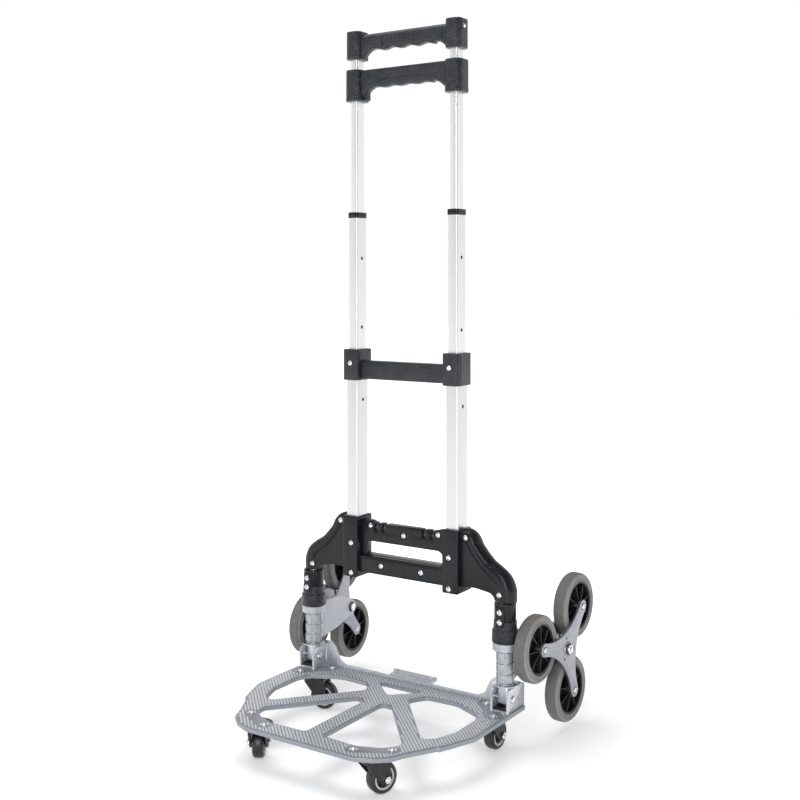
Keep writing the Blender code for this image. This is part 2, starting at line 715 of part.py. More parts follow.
PLATE_EDGE = [
    (0.1445, 0.0118, 0), (0.1445, 0.0260, 0.001), (0.1800, 0.0260, 0.005), (0.1800, -0.1120, 0.03),
    (0.1660, -0.1480, 0.01), (0.1590, -0.1650, 0.002), (0.1550, -0.1665, 0.001), (0.1350, -0.2010, 0.03),
    (0.1245, -0.2250, 0.014), (0.1080, -0.2390, 0.014), (0.0860, -0.2480, 0.03),
]
SIDE_OPENING = [
    (0.0355, -0.0480, 0.009), (0.0510, -0.0225, 0.012), (0.0980, -0.0205, 0.03), (0.1405, -0.0410, 0.012),
    (0.1495, -0.0600, 0.014), (0.1495, -0.1120, 0.02), (0.1390, -0.1400, 0.01), (0.1270, -0.1515, 0.005),
    (0.1195, -0.1475, 0.004),
]
FRONT_OPENING = [
    (0.1125, -0.1780, 0.007), (0.0300, -0.0800, 0.008), (0.0133, -0.0800, 0.008), (0.0133, -0.2145, 0.006),
    (0.0680, -0.2165, 0.03), (0.0980, -0.2050, 0.02), (0.1110, -0.1900, 0.008),
]
REAR_OPENING = [(-0.0400, -0.0105, 0.004), (0.0400, -0.0105, 0.004), (0.0, -0.0480, 0.008)]
FLANGE_NEAR = 0.0100
FLANGE_FAR = 0.0118
FLANGE_HALF = [(0.1490, 0.0530, 0), (0.1490, 0.0930, 0.002), (0.1340, 0.0890, 0.015), (0.1240, 0.0680, 0.010),
               (0.1120, 0.0632, 0.006)]


def mirrored(corners):
    """The same outline on the other side of X = 0, in reverse order."""
    return [(-x, y, radius) for x, y, radius in reversed(corners)]


def toe_plate():
    edge = rounded(PLATE_EDGE + mirrored(PLATE_EDGE))
    openings = [rounded(outline) for outline in (SIDE_OPENING, FRONT_OPENING, REAR_OPENING)]
    openings += [rounded(mirrored(outline)) for outline in (SIDE_OPENING, FRONT_OPENING)]
    plate = prism([edge] + openings, PLATE_TOP - PLATE_THICKNESS, PLATE_TOP)
    flange = rounded(FLANGE_HALF + mirrored(FLANGE_HALF))
    return join(plate, front_prism([flange], FLANGE_NEAR, FLANGE_FAR))


def rear_lip():
    """A tab behind the flange with a rolled edge."""
    roll_radius = 0.0036
    roll_y = 0.0240
    roll_z = 0.0646
    tab = box((-0.0350, FLANGE_FAR + GAP, 0.0600), (0.0350, roll_y, 0.0617), 0.0003)
    return join(tab, rod((-0.0365, roll_y, roll_z), (0.0365, roll_y, roll_z), roll_radius, 16))


def hinge_bracket(side):
    """A U-shaped bracket: two ears with a base on the plate and a rear wall."""
    x = side * LEG_X
    base = PLATE_TOP + GAP
    ear = [(-0.0212, base, 0.0005), (0.0260, base, 0.0005), (0.0260, EAR_TOP, 0.003), (-0.0212, EAR_TOP, 0.0095)]
    bracket = side_prism([rounded(ear)], x - EAR_OUTSIDE, x + EAR_OUTSIDE)
    inside = EAR_OUTSIDE - EAR_THICKNESS
    room = box((x - inside, -0.05, base + EAR_THICKNESS), (x + inside, 0.0240, EAR_TOP + 0.02))
    hole = rod((x - 0.02, PIVOT_Y, PIVOT_Z), (x + 0.02, PIVOT_Y, PIVOT_Z), 0.0033, 16)
    return cut(bracket, room, hole)


make_node(toe_plate(), "toe_plate", PLATE, TOE_PIVOT)
make_node(rear_lip(), "rear_lip", PLATE, TOE_PIVOT)
for side_name, side in SIDES.items():
    make_node(hinge_bracket(side), f"hinge_bracket_{side_name}", ZINC, TOE_PIVOT)


# ---------- casters ----------

MOUNT_TURN = {"front": math.radians(29.5), "rear": math.radians(130.9)}


def caster_mount(x, y, turn):
    """The flat plate, wider along its two bolts, under the toe plate."""
    high = PLATE_TOP - PLATE_THICKNESS - GAP
    outline = [(0.0340, 0, 0.008), (0, 0.0240, 0.018), (-0.0340, 0, 0.008), (0, -0.0240, 0.018)]
    frame = Matrix.Translation((x, y, 0)) @ Matrix.Rotation(turn, 4, "Z")
    return prism([rounded(outline)], high - 0.0018, high, frame)


def caster_frame(x, y, heading):
    """Matrix at the floor below the swivel: X trails, Y up, Z along the wheel's axle."""
    trail = Vector((math.cos(heading), math.sin(heading), 0))
    up = Vector((0, 0, 1))
    matrix = Matrix((trail, up, trail.cross(up))).transposed().to_4x4()
    return Matrix.Translation((x, y, 0)) @ matrix


FORK_SIDE = [(-0.0150, 0.0465, 0), (-0.0145, 0.0390, 0.003), (0.0060, 0.0150, 0.004), (0.0150, 0.0110, 0.006),
             (0.0205, 0.0180, 0.004), (0.0180, 0.0380, 0.004), (0.0150, 0.0465, 0)]


def caster_fork(frame, x, y):
    """A swivel disc, two sloping cheeks and the axle with its nuts."""
    outside = 0.0122
    inside = 0.0092
    top = PLATE_TOP - PLATE_THICKNESS - 2 * GAP - 0.0018
    disc = [(0, top), (0.0160, top), (0.0172, top - 0.0020), (0.0172, top - 0.0040), (0, top - 0.0040)]
    fork = turned(disc, Matrix.Translation((x, y, 0)), 20)
    join(fork, prism([rounded(FORK_SIDE)], -outside, outside, frame))
    room = prism([[(-0.05, 0.0), (0.06, 0.0), (0.06, 0.0418), (-0.05, 0.0418)]], -inside, inside, frame)
    cut(fork, room)
    axle = frame @ Matrix.Translation((CASTER_TRAIL, CASTER_WHEEL_RADIUS, 0))
    nut = outside + 0.0034
    profile = [(0, nut + 0.001), (0.0026, nut + 0.0008), (0.0030, nut), (0.0046, nut), (0.0046, outside - 0.0012),
               (0.0030, outside - 0.0012), (0.0030, 0.0012 - outside), (0.0046, 0.0012 - outside),
               (0.0046, -nut), (0, -nut)]
    return use_manifold_solver(join(fork, turned(profile, axle, 12)))


def caster_wheel(frame):
    half = CASTER_WHEEL_WIDTH / 2
    radius = CASTER_WHEEL_RADIUS
    bore = 0.0033
    side = [(bore, half), (0.0060, half - 0.0015), (0.0125, half - 0.0015), (0.0130, half),
            (0.0170, half), (radius, half - 0.0040)]
    profile = side + [(r, -height) for r, height in reversed(side)]
    return turned(profile, frame @ Matrix.Translation((CASTER_TRAIL, radius, 0)), ring=True)


for place, (x, y, heading) in CASTERS.items():
    row, side_name = place.split("_")
    mount_turn = MOUNT_TURN[row] if x > 0 else math.pi - MOUNT_TURN[row]
    make_node(caster_mount(x, y, mount_turn), f"caster_mount_{place}", STEEL, TOE_PIVOT)
    swivel = pivot(f"caster_swivel_{place}", (x, y, 0.05), (0, 0, 1), TOE_PIVOT)
    frame = caster_frame(x, y, heading)
    make_node(caster_fork(frame, x, y), f"caster_fork_{place}", STEEL, swivel)
    axle_place = frame @ Vector((CASTER_TRAIL, CASTER_WHEEL_RADIUS, 0))
    wheel_pivot = pivot(f"caster_axle_{place}", axle_place, frame.col[2].xyz, swivel)
    make_node(caster_wheel(frame), f"caster_wheel_{place}", CASTER_TYRE, wheel_pivot)


# ---------- placing ----------

for helper in CUTTERS.objects:
    hold(helper, ORIGIN)
ORIGIN.location.y = POST_PLANE_Y
bpy.context.view_layer.update()
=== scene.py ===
import math
from collections import namedtuple

import bmesh
import bpy
from mathutils import Matrix, Vector


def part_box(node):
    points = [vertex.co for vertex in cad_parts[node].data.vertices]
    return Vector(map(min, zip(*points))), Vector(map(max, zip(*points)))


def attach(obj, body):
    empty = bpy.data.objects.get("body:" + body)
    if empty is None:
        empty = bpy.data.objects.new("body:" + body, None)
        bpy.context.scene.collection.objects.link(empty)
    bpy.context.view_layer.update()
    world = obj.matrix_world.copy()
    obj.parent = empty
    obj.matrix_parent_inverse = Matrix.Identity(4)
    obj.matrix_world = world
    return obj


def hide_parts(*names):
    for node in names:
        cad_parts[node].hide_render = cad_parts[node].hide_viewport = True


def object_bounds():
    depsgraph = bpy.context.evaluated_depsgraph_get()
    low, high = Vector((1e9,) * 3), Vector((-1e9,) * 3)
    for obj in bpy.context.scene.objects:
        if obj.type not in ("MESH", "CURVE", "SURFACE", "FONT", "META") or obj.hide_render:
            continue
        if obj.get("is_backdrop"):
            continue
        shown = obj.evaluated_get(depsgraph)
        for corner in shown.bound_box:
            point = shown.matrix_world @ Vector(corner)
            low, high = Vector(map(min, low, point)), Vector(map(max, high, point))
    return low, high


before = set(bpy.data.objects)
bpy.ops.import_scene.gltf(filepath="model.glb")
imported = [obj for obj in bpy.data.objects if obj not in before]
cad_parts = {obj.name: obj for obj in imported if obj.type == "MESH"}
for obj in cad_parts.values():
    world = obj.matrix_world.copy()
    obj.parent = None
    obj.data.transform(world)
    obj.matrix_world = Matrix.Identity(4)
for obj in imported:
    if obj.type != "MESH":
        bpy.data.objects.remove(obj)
CAD_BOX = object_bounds()

# ---------- sizes, in metres, in the posts' own frame: Y = 0 on the posts' plane ----------

POST_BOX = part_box("outer_post_left")
POST_PLANE_Y = (POST_BOX[0].y + POST_BOX[1].y) / 2
SIDES = {"left": -1, "right": 1}
POST_X = 0.085
LEG_X = 0.1635
LEG_Y = -0.0035
GAP = 0.0003
PASS = 0.001  # how far a cutter reaches past what it cuts

# Telescoping posts: outer width in X, depth in Y, wall, lowest and highest point
OUTER_POST = (0.020, 0.0275, 0.0015, 0.206, 0.531)
MIDDLE_POST = (0.016, 0.0232, 0.0013, 0.395, 0.7333)
INNER_POST = (0.0122, 0.0186, 0.0011, 0.560, 0.993)
POST_CORNER = 0.0026
OUTER_POST_TOP = OUTER_POST[4]
MIDDLE_POST_TOP = MIDDLE_POST[4]
LEG_BORE = 0.0083
LEG_TOP = 0.2138

SPLAY = math.radians(2.6)
STAR_REACH = 0.097
STAR_HEIGHT = 0.121
STAR_ARM = 0.0665
STAR_PHASE = {"right": math.radians(47.7), "left": math.radians(-48.0)}
AXLE_BORE = 0.0043
INNER_PLATE = 0.014
OUTER_PLATE = 0.042
STAR_THICKNESS = 0.002
TYRE_RADIUS = 0.0455
RIM_RADIUS = 0.0345
TYRE_FACE = 0.0185
TYRE_WIDTH = 0.020

PLATE_TOP = 0.0562
PLATE_THICKNESS = 0.0055
MOUNT_THICKNESS = 0.0018
RIB_HEIGHT = 0.0006
RIB_PITCH = 0.0042
PIVOT_Y = -0.0065
PIVOT_Z = 0.0725
EAR_OUTSIDE = 0.0135
EAR_TOP = 0.0872

CASTER_RADIUS = 0.020
CASTER_TRAIL = 0.013
CASTERS = {
    "front_left": (-0.0927, -0.2149, math.radians(123.7)),
    "front_right": (0.0927, -0.2149, math.radians(69.6)),
    "rear_left": (-0.1478, -0.0170, math.radians(15.2)),
    "rear_right": (0.1478, -0.0170, math.radians(88.0)),
}


# ---------- materials ----------

class Finish:
    """A Principled material and the few node recipes that every finish here uses."""

    def __init__(self, name, color, roughness, metallic=0.0):
        self.material = bpy.data.materials.new(name)
        self.material.use_nodes = True
        self.nodes = self.material.node_tree.nodes
        self.links = self.material.node_tree.links
        self.shader = self.nodes["Principled BSDF"]
        self.shader.inputs["Base Color"].default_value = (*color, 1.0)
        self.shader.inputs["Roughness"].default_value = roughness
        self.shader.inputs["Metallic"].default_value = metallic
        self.place = self.nodes.new("ShaderNodeTexCoord").outputs["Object"]
        self.height = None

    def stretched(self, scale):
        """Object coordinates scaled by a different amount on each axis."""
        mapping = self.nodes.new("ShaderNodeMapping")
        mapping.inputs["Scale"].default_value = scale
        self.links.new(self.place, mapping.inputs["Vector"])
        return mapping.outputs["Vector"]

    def noise(self, scale, detail=3.0, roughness=0.55, where=None):
        texture = self.nodes.new("ShaderNodeTexNoise")
        texture.inputs["Scale"].default_value = scale
        texture.inputs["Detail"].default_value = detail
        texture.inputs["Roughness"].default_value = roughness
        self.links.new(where or self.place, texture.inputs["Vector"])
        return texture.outputs["Fac"]

    def cells(self, scale):
        texture = self.nodes.new("ShaderNodeTexVoronoi")
        texture.inputs["Scale"].default_value = scale
        self.links.new(self.place, texture.inputs["Vector"])
        return texture.outputs["Distance"]

    def ramp(self, value, low, high, first, last):
        """Map value from low..high to the grey or colour first..last."""
        ramp = self.nodes.new("ShaderNodeValToRGB")
        stops = ramp.color_ramp.elements
        stops[0].position = low
        stops[1].position = high
        for stop, shade in zip(stops, (first, last)):
            stop.color = (*shade, 1.0) if isinstance(shade, tuple) else (shade, shade, shade, 1.0)
        self.links.new(value, ramp.inputs["Fac"])
        return ramp.outputs["Color"]

    def color(self, value, low, high, first, last):
        self.links.new(self.ramp(value, low, high, first, last), self.shader.inputs["Base Color"])
        return self

    def gloss(self, value, low, high, first, last):
        self.links.new(self.ramp(value, low, high, first, last), self.shader.inputs["Roughness"])
        return self

    def bump(self, value, strength, distance):
        """Add a layer of relief on top of the layers before it."""
        bump = self.nodes.new("ShaderNodeBump")
        bump.inputs["Strength"].default_value = strength
        bump.inputs["Distance"].default_value = distance
        self.links.new(value, bump.inputs["Height"])
        if self.height:
            self.links.new(self.height, bump.inputs["Normal"])
        self.height = bump.outputs["Normal"]
        self.links.new(self.height, self.shader.inputs["Normal"])
        return self


Look = namedtuple("Look", "material slot")


def satin_aluminium(name, shade):
    """Anodised extrusion: faint drawing lines along Z."""
    finish = Finish(name, (shade, shade, shade), 0.36, 1.0)
    lines = finish.noise(1.0, 4.0, 0.6, finish.stretched((2600, 2600, 14)))
    dark = (shade - 0.04, shade - 0.038, shade - 0.03)
    light = (shade + 0.04, shade + 0.04, shade + 0.045)
    finish.color(lines, 0.25, 0.8, dark, light)
    finish.gloss(lines, 0.2, 0.8, 0.30, 0.42)
    return Look(finish.bump(lines, 0.05, 0.0002).material, "satin_aluminium")


def bright_zinc():
    """Zinc plate on pressed steel, with faint streaks."""
    finish = Finish("bright_zinc", (0.78, 0.79, 0.81), 0.24, 1.0)
    streak = finish.noise(1.0, 4.0, 0.6, finish.stretched((90, 90, 620)))
    finish.color(streak, 0.3, 0.7, (0.70, 0.71, 0.73), (0.84, 0.85, 0.87))
    finish.gloss(finish.noise(180, 4.0), 0.3, 0.75, 0.16, 0.34)
    return Look(finish.bump(streak, 0.06, 0.0003).material, "bright_zinc")


def finished(name, slot, base, roughness, tint, gloss, *reliefs, metallic=0.0, specular=0.5):
    """A finish of one tint, one gloss and some layers of relief, each over its own pattern.

    A pattern is a noise's scale, detail and roughness, or only the scale of some cells. tint and
    gloss add the span of the pattern's values, and what the two ends of that span give. A relief
    adds a strength and a depth.
    """
    finish = Finish(name, base, roughness, metallic)
    finish.shader.inputs["Specular IOR Level"].default_value = specular
    finish.color(finish.noise(*tint[0]), *tint[1:])
    finish.gloss(finish.noise(*gloss[0]), *gloss[1:])
    for pattern, strength, depth in reliefs:
        cells = len(pattern) == 1
        finish.bump(finish.cells(*pattern) if cells else finish.noise(*pattern), strength, depth)
    return Look(finish.material, slot)


# One anodised aluminium in three shades: the middle and inner copies are made lighter as painted light, for
# the brighter look of the higher posts
OUTER_ALUMINIUM = satin_aluminium("outer_aluminium", 0.64)
MIDDLE_ALUMINIUM = satin_aluminium("middle_aluminium", 0.75)
INNER_ALUMINIUM = satin_aluminium("inner_aluminium", 0.83)
ZINC = bright_zinc()

# Spark-textured moulding with a slight gloss and faint handling marks
BLACK = finished(
    "black_plastic", "black_plastic", (0.010, 0.011, 0.014), 0.4,
    ((38, 4.0), 0.3, 0.75, (0.005, 0.006, 0.008), (0.010, 0.012, 0.015)),
    ((240, 5.0), 0.3, 0.75, 0.20, 0.36),
    ((380, 4.0), 0.20, 0.0010), ((2600, 2.0), 0.16, 0.0003), specular=0.28)

# Softer, rougher moulding of the hand grips
GRIP = finished(
    "grip_plastic", "black_plastic", (0.012, 0.014, 0.017), 0.48,
    ((60, 4.0), 0.3, 0.75, (0.009, 0.011, 0.015), (0.020, 0.024, 0.031)),
    ((420, 4.0), 0.3, 0.7, 0.20, 0.38),
    ((230, 5.0, 0.65), 0.75, 0.0020), ((1300,), 0.25, 0.0004), specular=0.42)

# Fine metallic paint with a light orange peel. This is the darker of two copies of one paint: the plate
# between the ribs is painted darker, as painted shade in the grooves between the ribs
SHADED_PAINT = finished(
    "silver_paint", "silver_paint", (0.26, 0.28, 0.32), 0.36,
    ((900, 3.0), 0.3, 0.72, (0.26, 0.28, 0.32), (0.35, 0.37, 0.41)),
    ((70, 4.0), 0.3, 0.75, 0.30, 0.44),
    ((700, 2.0), 0.08, 0.0004), metallic=0.55)

# The same paint made lighter: painted highlight on the ribs, the flange and the rear lip, for the light they
# catch; the bare pressings near the plate share this lighter copy
LIT_PAINT = finished(
    "lit_paint", "silver_paint", (0.64, 0.66, 0.70), 0.32,
    ((260, 4.0, 0.65), 0.3, 0.72, (0.56, 0.58, 0.62), (0.73, 0.75, 0.79)),
    ((120, 4.0), 0.3, 0.75, 0.26, 0.40),
    ((900, 2.0), 0.08, 0.0003), metallic=0.6)
PRESSED = Look(LIT_PAINT.material, "bright_zinc")

# Painted die casting, grainy, with small pits
CAST = finished(
    "cast_silver", "cast_silver", (0.47, 0.49, 0.53), 0.45,
    ((520, 5.0, 0.7), 0.32, 0.7, (0.38, 0.40, 0.44), (0.58, 0.60, 0.64)),
    ((160, 4.0), 0.3, 0.7, 0.38, 0.56),
    ((1100, 4.0, 0.7), 0.30, 0.0006), ((620,), 0.10, 0.0005), metallic=0.5)

# Zinc plated pressing of the stars, a little duller than the screws
STAR_STEEL = finished(
    "star_steel", "bright_zinc", (0.30, 0.31, 0.34), 0.34,
    ((130, 4.0), 0.3, 0.72, (0.26, 0.27, 0.30), (0.34, 0.35, 0.38)),
    ((300, 4.0), 0.3, 0.75, 0.26, 0.42),
    ((900, 3.0), 0.07, 0.0003), metallic=0.85)

# Matt tyre rubber with scuffs
RUBBER = finished(
    "grey_rubber", "grey_tyre", (0.25, 0.243, 0.235), 0.62,
    ((46, 5.0, 0.65), 0.3, 0.75, (0.215, 0.209, 0.202), (0.295, 0.288, 0.280)),
    ((300, 4.0), 0.3, 0.7, 0.52, 0.74),
    ((1500, 3.0), 0.20, 0.0004), ((90, 3.0), 0.05, 0.001))

# The running surface, painted darker than the side walls: painted shade for the lesser light on the tread
SHADED_TREAD = finished(
    "shaded_tread_rubber", "grey_tyre", (0.145, 0.140, 0.134), 0.66,
    ((60, 5.0, 0.65), 0.3, 0.75, (0.120, 0.115, 0.110), (0.180, 0.174, 0.166)),
    ((300, 4.0), 0.3, 0.7, 0.56, 0.76),
    ((1200, 4.0), 0.28, 0.0005))

# Glossier moulding of the hubs, the axle seals and the stop pads, and of the dark rings round the stars' nuts
# and rivets, which are painted shade; the stop pads are partly painted shade as well
HUB = finished(
    "hub_plastic", "black_hub", (0.012, 0.012, 0.014), 0.36,
    ((80, 4.0), 0.3, 0.75, (0.009, 0.009, 0.011), (0.020, 0.020, 0.023)),
    ((350, 4.0), 0.3, 0.75, 0.28, 0.46),
    ((1800, 2.0), 0.12, 0.0003), specular=0.3)

# Lacquered steel of the casters
STEEL = finished(
    "black_steel", "black_steel", (0.014, 0.014, 0.016), 0.32,
    ((90, 4.0), 0.3, 0.75, (0.010, 0.010, 0.012), (0.024, 0.024, 0.027)),
    ((260, 4.0), 0.3, 0.75, 0.24, 0.42),
    ((700, 3.0), 0.12, 0.0004), metallic=0.2)

# Polished black tyre, and the pale ring it sits on
CASTER_TYRE = finished(
    "caster_tyre", "caster_tyre", (0.012, 0.012, 0.015), 0.34,
    ((120, 4.0), 0.3, 0.75, (0.010, 0.010, 0.013), (0.022, 0.022, 0.026)),
    ((260, 4.0), 0.3, 0.75, 0.26, 0.46),
    ((1300, 3.0), 0.10, 0.0003))
CASTER_RIM = finished(
    "caster_rim", "caster_tyre", (0.62, 0.61, 0.59), 0.42,
    ((160, 4.0), 0.3, 0.75, (0.56, 0.55, 0.53), (0.68, 0.67, 0.65)),
    ((260, 4.0), 0.3, 0.75, 0.34, 0.5),
    ((900, 3.0), 0.08, 0.0003))


# ---------- modelling helpers ----------

def new_object(name, shape, matrix=None):
    """Link a bmesh as an object, moved by matrix, with its faces looking out."""
    if matrix:
        bmesh.ops.transform(shape, matrix=matrix, verts=shape.verts)
    bmesh.ops.recalc_face_normals(shape, faces=shape.faces)
    mesh = bpy.data.meshes.new(name)
    shape.to_mesh(mesh)
    shape.free()
    body = bpy.data.objects.new(name, mesh)
    bpy.context.scene.collection.objects.link(body)
    return body


def baked(body):
    """Replace a body's mesh by the result of its modifiers."""
    graph = bpy.context.evaluated_depsgraph_get()
    mesh = bpy.data.meshes.new_from_object(body.evaluated_get(graph))
    body.modifiers.clear()
    body.data = mesh
    return body


def combine(body, tools, operation):
    for tool in tools:
        boolean = body.modifiers.new(operation, "BOOLEAN")
        boolean.operation = operation
        boolean.solver = "EXACT"
        boolean.object = tool
    baked(body)
    for tool in tools:
        bpy.data.objects.remove(tool)
    return body


def join(body, *tools):
    return combine(body, tools, "UNION")


def cut(body, *tools):
    return combine(body, tools, "DIFFERENCE")


def gathered(bodies):
    """Put several bodies into one mesh without cutting them."""
    shape = bmesh.new()
    for body in bodies:
        shape.from_mesh(baked(body).data)
        bpy.data.objects.remove(body)
    return new_object("gathered", shape)


def bevelled(body, width, segments=3, angle=32):
    bevel = body.modifiers.new("edges", "BEVEL")
    bevel.width = width
    bevel.segments = segments
    bevel.limit_method = "ANGLE"
    bevel.angle_limit = math.radians(angle)
    bevel.miter_outer = "MITER_ARC"
    return body


def piece(body, name, rides_on, look, *nodes):
    """Name and shade a finished body, put it in the frame and tie it to its CAD body."""
    baked(body)
    body.name = name
    body.data.name = name
    body.data.transform(Matrix.Translation((0, POST_PLANE_Y, 0)))
    body.data.materials.clear()
    body.data.materials.append(look.material)
    body.data.shade_smooth()
    body.data.set_sharp_from_angle(angle=math.radians(38))
    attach(body, rides_on)
    if nodes:
        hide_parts(*nodes)
    return body


def facing(location, axis):
    """Matrix at location whose Z runs along axis."""
    z_axis = Vector(axis).normalized()
    nearly_upright = abs(z_axis.z) > 0.99
    hint = Vector((0, 1, 0)) if nearly_upright else Vector((0, 0, 1))
    x_axis = hint.cross(z_axis).normalized()
    matrix = Matrix((x_axis, z_axis.cross(x_axis), z_axis)).transposed().to_4x4()
    return Matrix.Translation(location) @ matrix


def leg_place(side):
    """Matrix that moves to a leg's axis, at the height of the floor."""
    return Matrix.Translation((side * LEG_X, LEG_Y, 0))


def raised(distance):
    """Matrix that moves a distance along Z."""
    return Matrix.Translation((0, 0, distance))


FRONT_VIEW = Matrix(((1, 0, 0, 0), (0, 0, -1, 0), (0, 1, 0, 0), (0, 0, 0, 1)))
SIDE_VIEW = Matrix(((0, 0, 1, 0), (1, 0, 0, 0), (0, 1, 0, 0), (0, 0, 0, 1)))


def prism(outline, low, high, matrix=None):
    """A flat outline raised from low to high."""
    shape = bmesh.new()
    bottom = [shape.verts.new((point[0], point[1], low)) for point in outline]
    top = [shape.verts.new((point[0], point[1], high)) for point in outline]
    shape.faces.new(bottom)
    shape.faces.new(top)
    for i, corner in enumerate(bottom):
        shape.faces.new((corner, bottom[i - 1], top[i - 1], top[i]))
    return new_object("prism", shape, matrix)


def front_prism(outline, near, far):
    """An outline drawn in X and Z, from Y = near to Y = far."""
    return prism(outline, -far, -near, FRONT_VIEW)


def block(low, high):
    outline = [(low[0], low[1]), (high[0], low[1]), (high[0], high[1]), (low[0], high[1])]
    return prism(outline, low[2], high[2])


def lathe(profile, matrix=None, steps=48, ring=False):
    """Turn (radius, height) points about Z. A ring's profile is closed; any other ends on the axis."""
    shape = bmesh.new()
    angles = [2 * math.pi * k / steps for k in range(steps)]
    loops = []
    for radius, height in profile:
        around = angles if radius > 0 else angles[:1]
        loops.append([shape.verts.new((radius * math.cos(a), radius * math.sin(a), height)) for a in around])
    pairs = list(zip(loops, loops[1:]))
    if ring:
        pairs.append((loops[-1], loops[0]))
    for near, far in pairs:
        for k in range(steps):
            after = k + 1
            corners = [near[k % len(near)], near[after % len(near)], far[after % len(far)], far[k % len(far)]]
            corners = list(dict.fromkeys(corners))
            if len(corners) > 2:
                shape.faces.new(corners)
    return new_object("lathe", shape, matrix)


def cylinder(radius, first, last, matrix=None, steps=32):
    """A solid cylinder round Z from the height first to the height last."""
    return lathe([(0, first), (radius, first), (radius, last), (0, last)], matrix, steps)


def both_faces(profile):
    """A lathe profile followed by its mirror image below the plane of height 0."""
    return profile + [(radius, -height) for radius, height in reversed(profile)]


def loft(sections):
    """A closed skin over a row of closed sections with the same number of points."""
    shape = bmesh.new()
    loops = [[shape.verts.new(point) for point in section] for section in sections]
    for near, far in zip(loops, loops[1:]):
        for k in range(len(near)):
            shape.faces.new((near[k - 1], near[k], far[k], far[k - 1]))
    shape.faces.new(loops[0])
    shape.faces.new(loops[-1])
    return new_object("loft", shape)


def rounded(corners, steps=8):
    """Points of a closed outline whose corners (x, y, radius) are filleted."""
    points = []
    for i, (x, y, radius) in enumerate(corners):
        here = Vector((x, y))
        back = Vector(corners[i - 1][:2]) - here
        ahead = Vector(corners[(i + 1) % len(corners)][:2]) - here
        if radius == 0:
            points.append(here)
            continue
        half = back.angle(ahead) / 2
        reach = radius / math.tan(half)
        middle = (back.normalized() + ahead.normalized()).normalized()
        centre = here + middle * radius / math.sin(half)
        start = here + back.normalized() * reach - centre
        sweep = start.angle_signed(here + ahead.normalized() * reach - centre)
        for k in range(steps + 1):
            turn = Matrix.Rotation(-sweep * k / steps, 2)
            points.append(centre + turn @ start)
    return points


def rectangle(width, depth, radius, centre=(0, 0), steps=6):
    x = width / 2
    y = depth / 2
    corners = [(x, y, radius), (-x, y, radius), (-x, -y, radius), (x, -y, radius)]
    return rounded([(centre[0] + a, centre[1] + b, r) for a, b, r in corners], steps)


def arc(centre, radius, first, last, steps):
    angles = [math.radians(first + (last - first) * k / steps) for k in range(steps + 1)]
    return [(centre[0] + radius * math.cos(a), centre[1] + radius * math.sin(a)) for a in angles]


def inset(outline, distance):
    """The outline moved inwards along its own normals."""
    points = [Vector(point[:2]) for point in outline]
    area = sum(points[i - 1].cross(point) for i, point in enumerate(points))
    turn = 1 if area > 0 else -1
    moved = []
    for i, point in enumerate(points):
        along = points[(i + 1) % len(points)] - points[i - 1]
        normal = Vector((-along.y, along.x)).normalized() * turn
        moved.append(point + normal * distance)
    return moved


def smoothed(stations, steps):
    """A Catmull-Rom curve through tuples of numbers."""
    result = []
    padded = [stations[0]] + list(stations) + [stations[-1]]
    for i in range(1, len(padded) - 2):
        before, start, end, after = padded[i - 1:i + 3]
        for k in range(steps):
            t = k / steps
            values = []
            for a, b, c, d in zip(before, start, end, after):
                curve = 2 * b + (c - a) * t + (2 * a - 5 * b + 4 * c - d) * t ** 2
                values.append((curve + (3 * b - a - 3 * c + d) * t ** 3) / 2)
            result.append(tuple(values))
    result.append(tuple(stations[-1]))
    return result


def ellipse(width, depth, power, count):
    """Points of a superellipse: power 2 is an ellipse, more is squarer."""
    points = []
    for k in range(count):
        angle = 2 * math.pi * k / count
        c = math.cos(angle)
        s = math.sin(angle)
        across = math.copysign(abs(c) ** (2 / power), c)
        along = math.copysign(abs(s) ** (2 / power), s)
        points.append((width * across, depth * along))
    return points


# ---------- fasteners ----------

HEAD_SINK = 0.0006  # how deep a head sits in its seat


def dome_screw(matrix, radius=0.0038, height=0.0016):
    """A domed head with a round-bottomed recess."""
    profile = [(0, height * 0.45), (radius * 0.34, height * 0.45), (radius * 0.42, height)]
    for degrees in (38, 52, 66, 80):
        angle = math.radians(degrees)
        profile.append((radius * math.sin(angle), height * math.cos(angle) ** 0.7))
    return lathe(profile + [(radius, 0), (radius, -HEAD_SINK), (0, -HEAD_SINK)], matrix, 24)


def rivet(matrix, radius=0.0034, height=0.0014):
    """A closed rivet: a low dome with a dimple on a thin collar."""
    profile = [(0, -height * 0.2), (radius * 0.30, -height * 0.2), (radius * 0.38, height)]
    profile += [(radius * 0.72, height * 0.86), (radius * 0.95, height * 0.35)]
    return lathe(profile + [(radius, 0), (radius, -HEAD_SINK), (0, -HEAD_SINK)], matrix, 24)


def hex_nut(matrix, radius, height):
    """A six-sided nut with its corners turned off."""
    corners = [math.radians(60 * k) for k in range(6)]
    outline = [(radius * math.cos(angle), radius * math.sin(angle)) for angle in corners]
    return bevelled(prism(outline, 0, height, matrix), radius * 0.09, 2, 20)


def front_screws(places, maker=dome_screw, **sizes):
    """Heads that look to the front (-Y) at (x, y, z)."""
    return gathered([maker(facing(place, (0, -1, 0)), **sizes) for place in places])


def both_sides(places):
    return [(side * x, y, z) for side in (-1, 1) for x, y, z in places]


# ---------- posts ----------

PIN_HOLE_RADIUS = 0.0026
RING_WALL = 0.0009

def post_room(size, side, low, high, gap):
    """A cutter with a post's outline, wider and deeper by gap."""
    outline = rectangle(size[0] + gap, size[1] + gap, POST_CORNER, (side * POST_X, 0))
    return prism(outline, low, high)


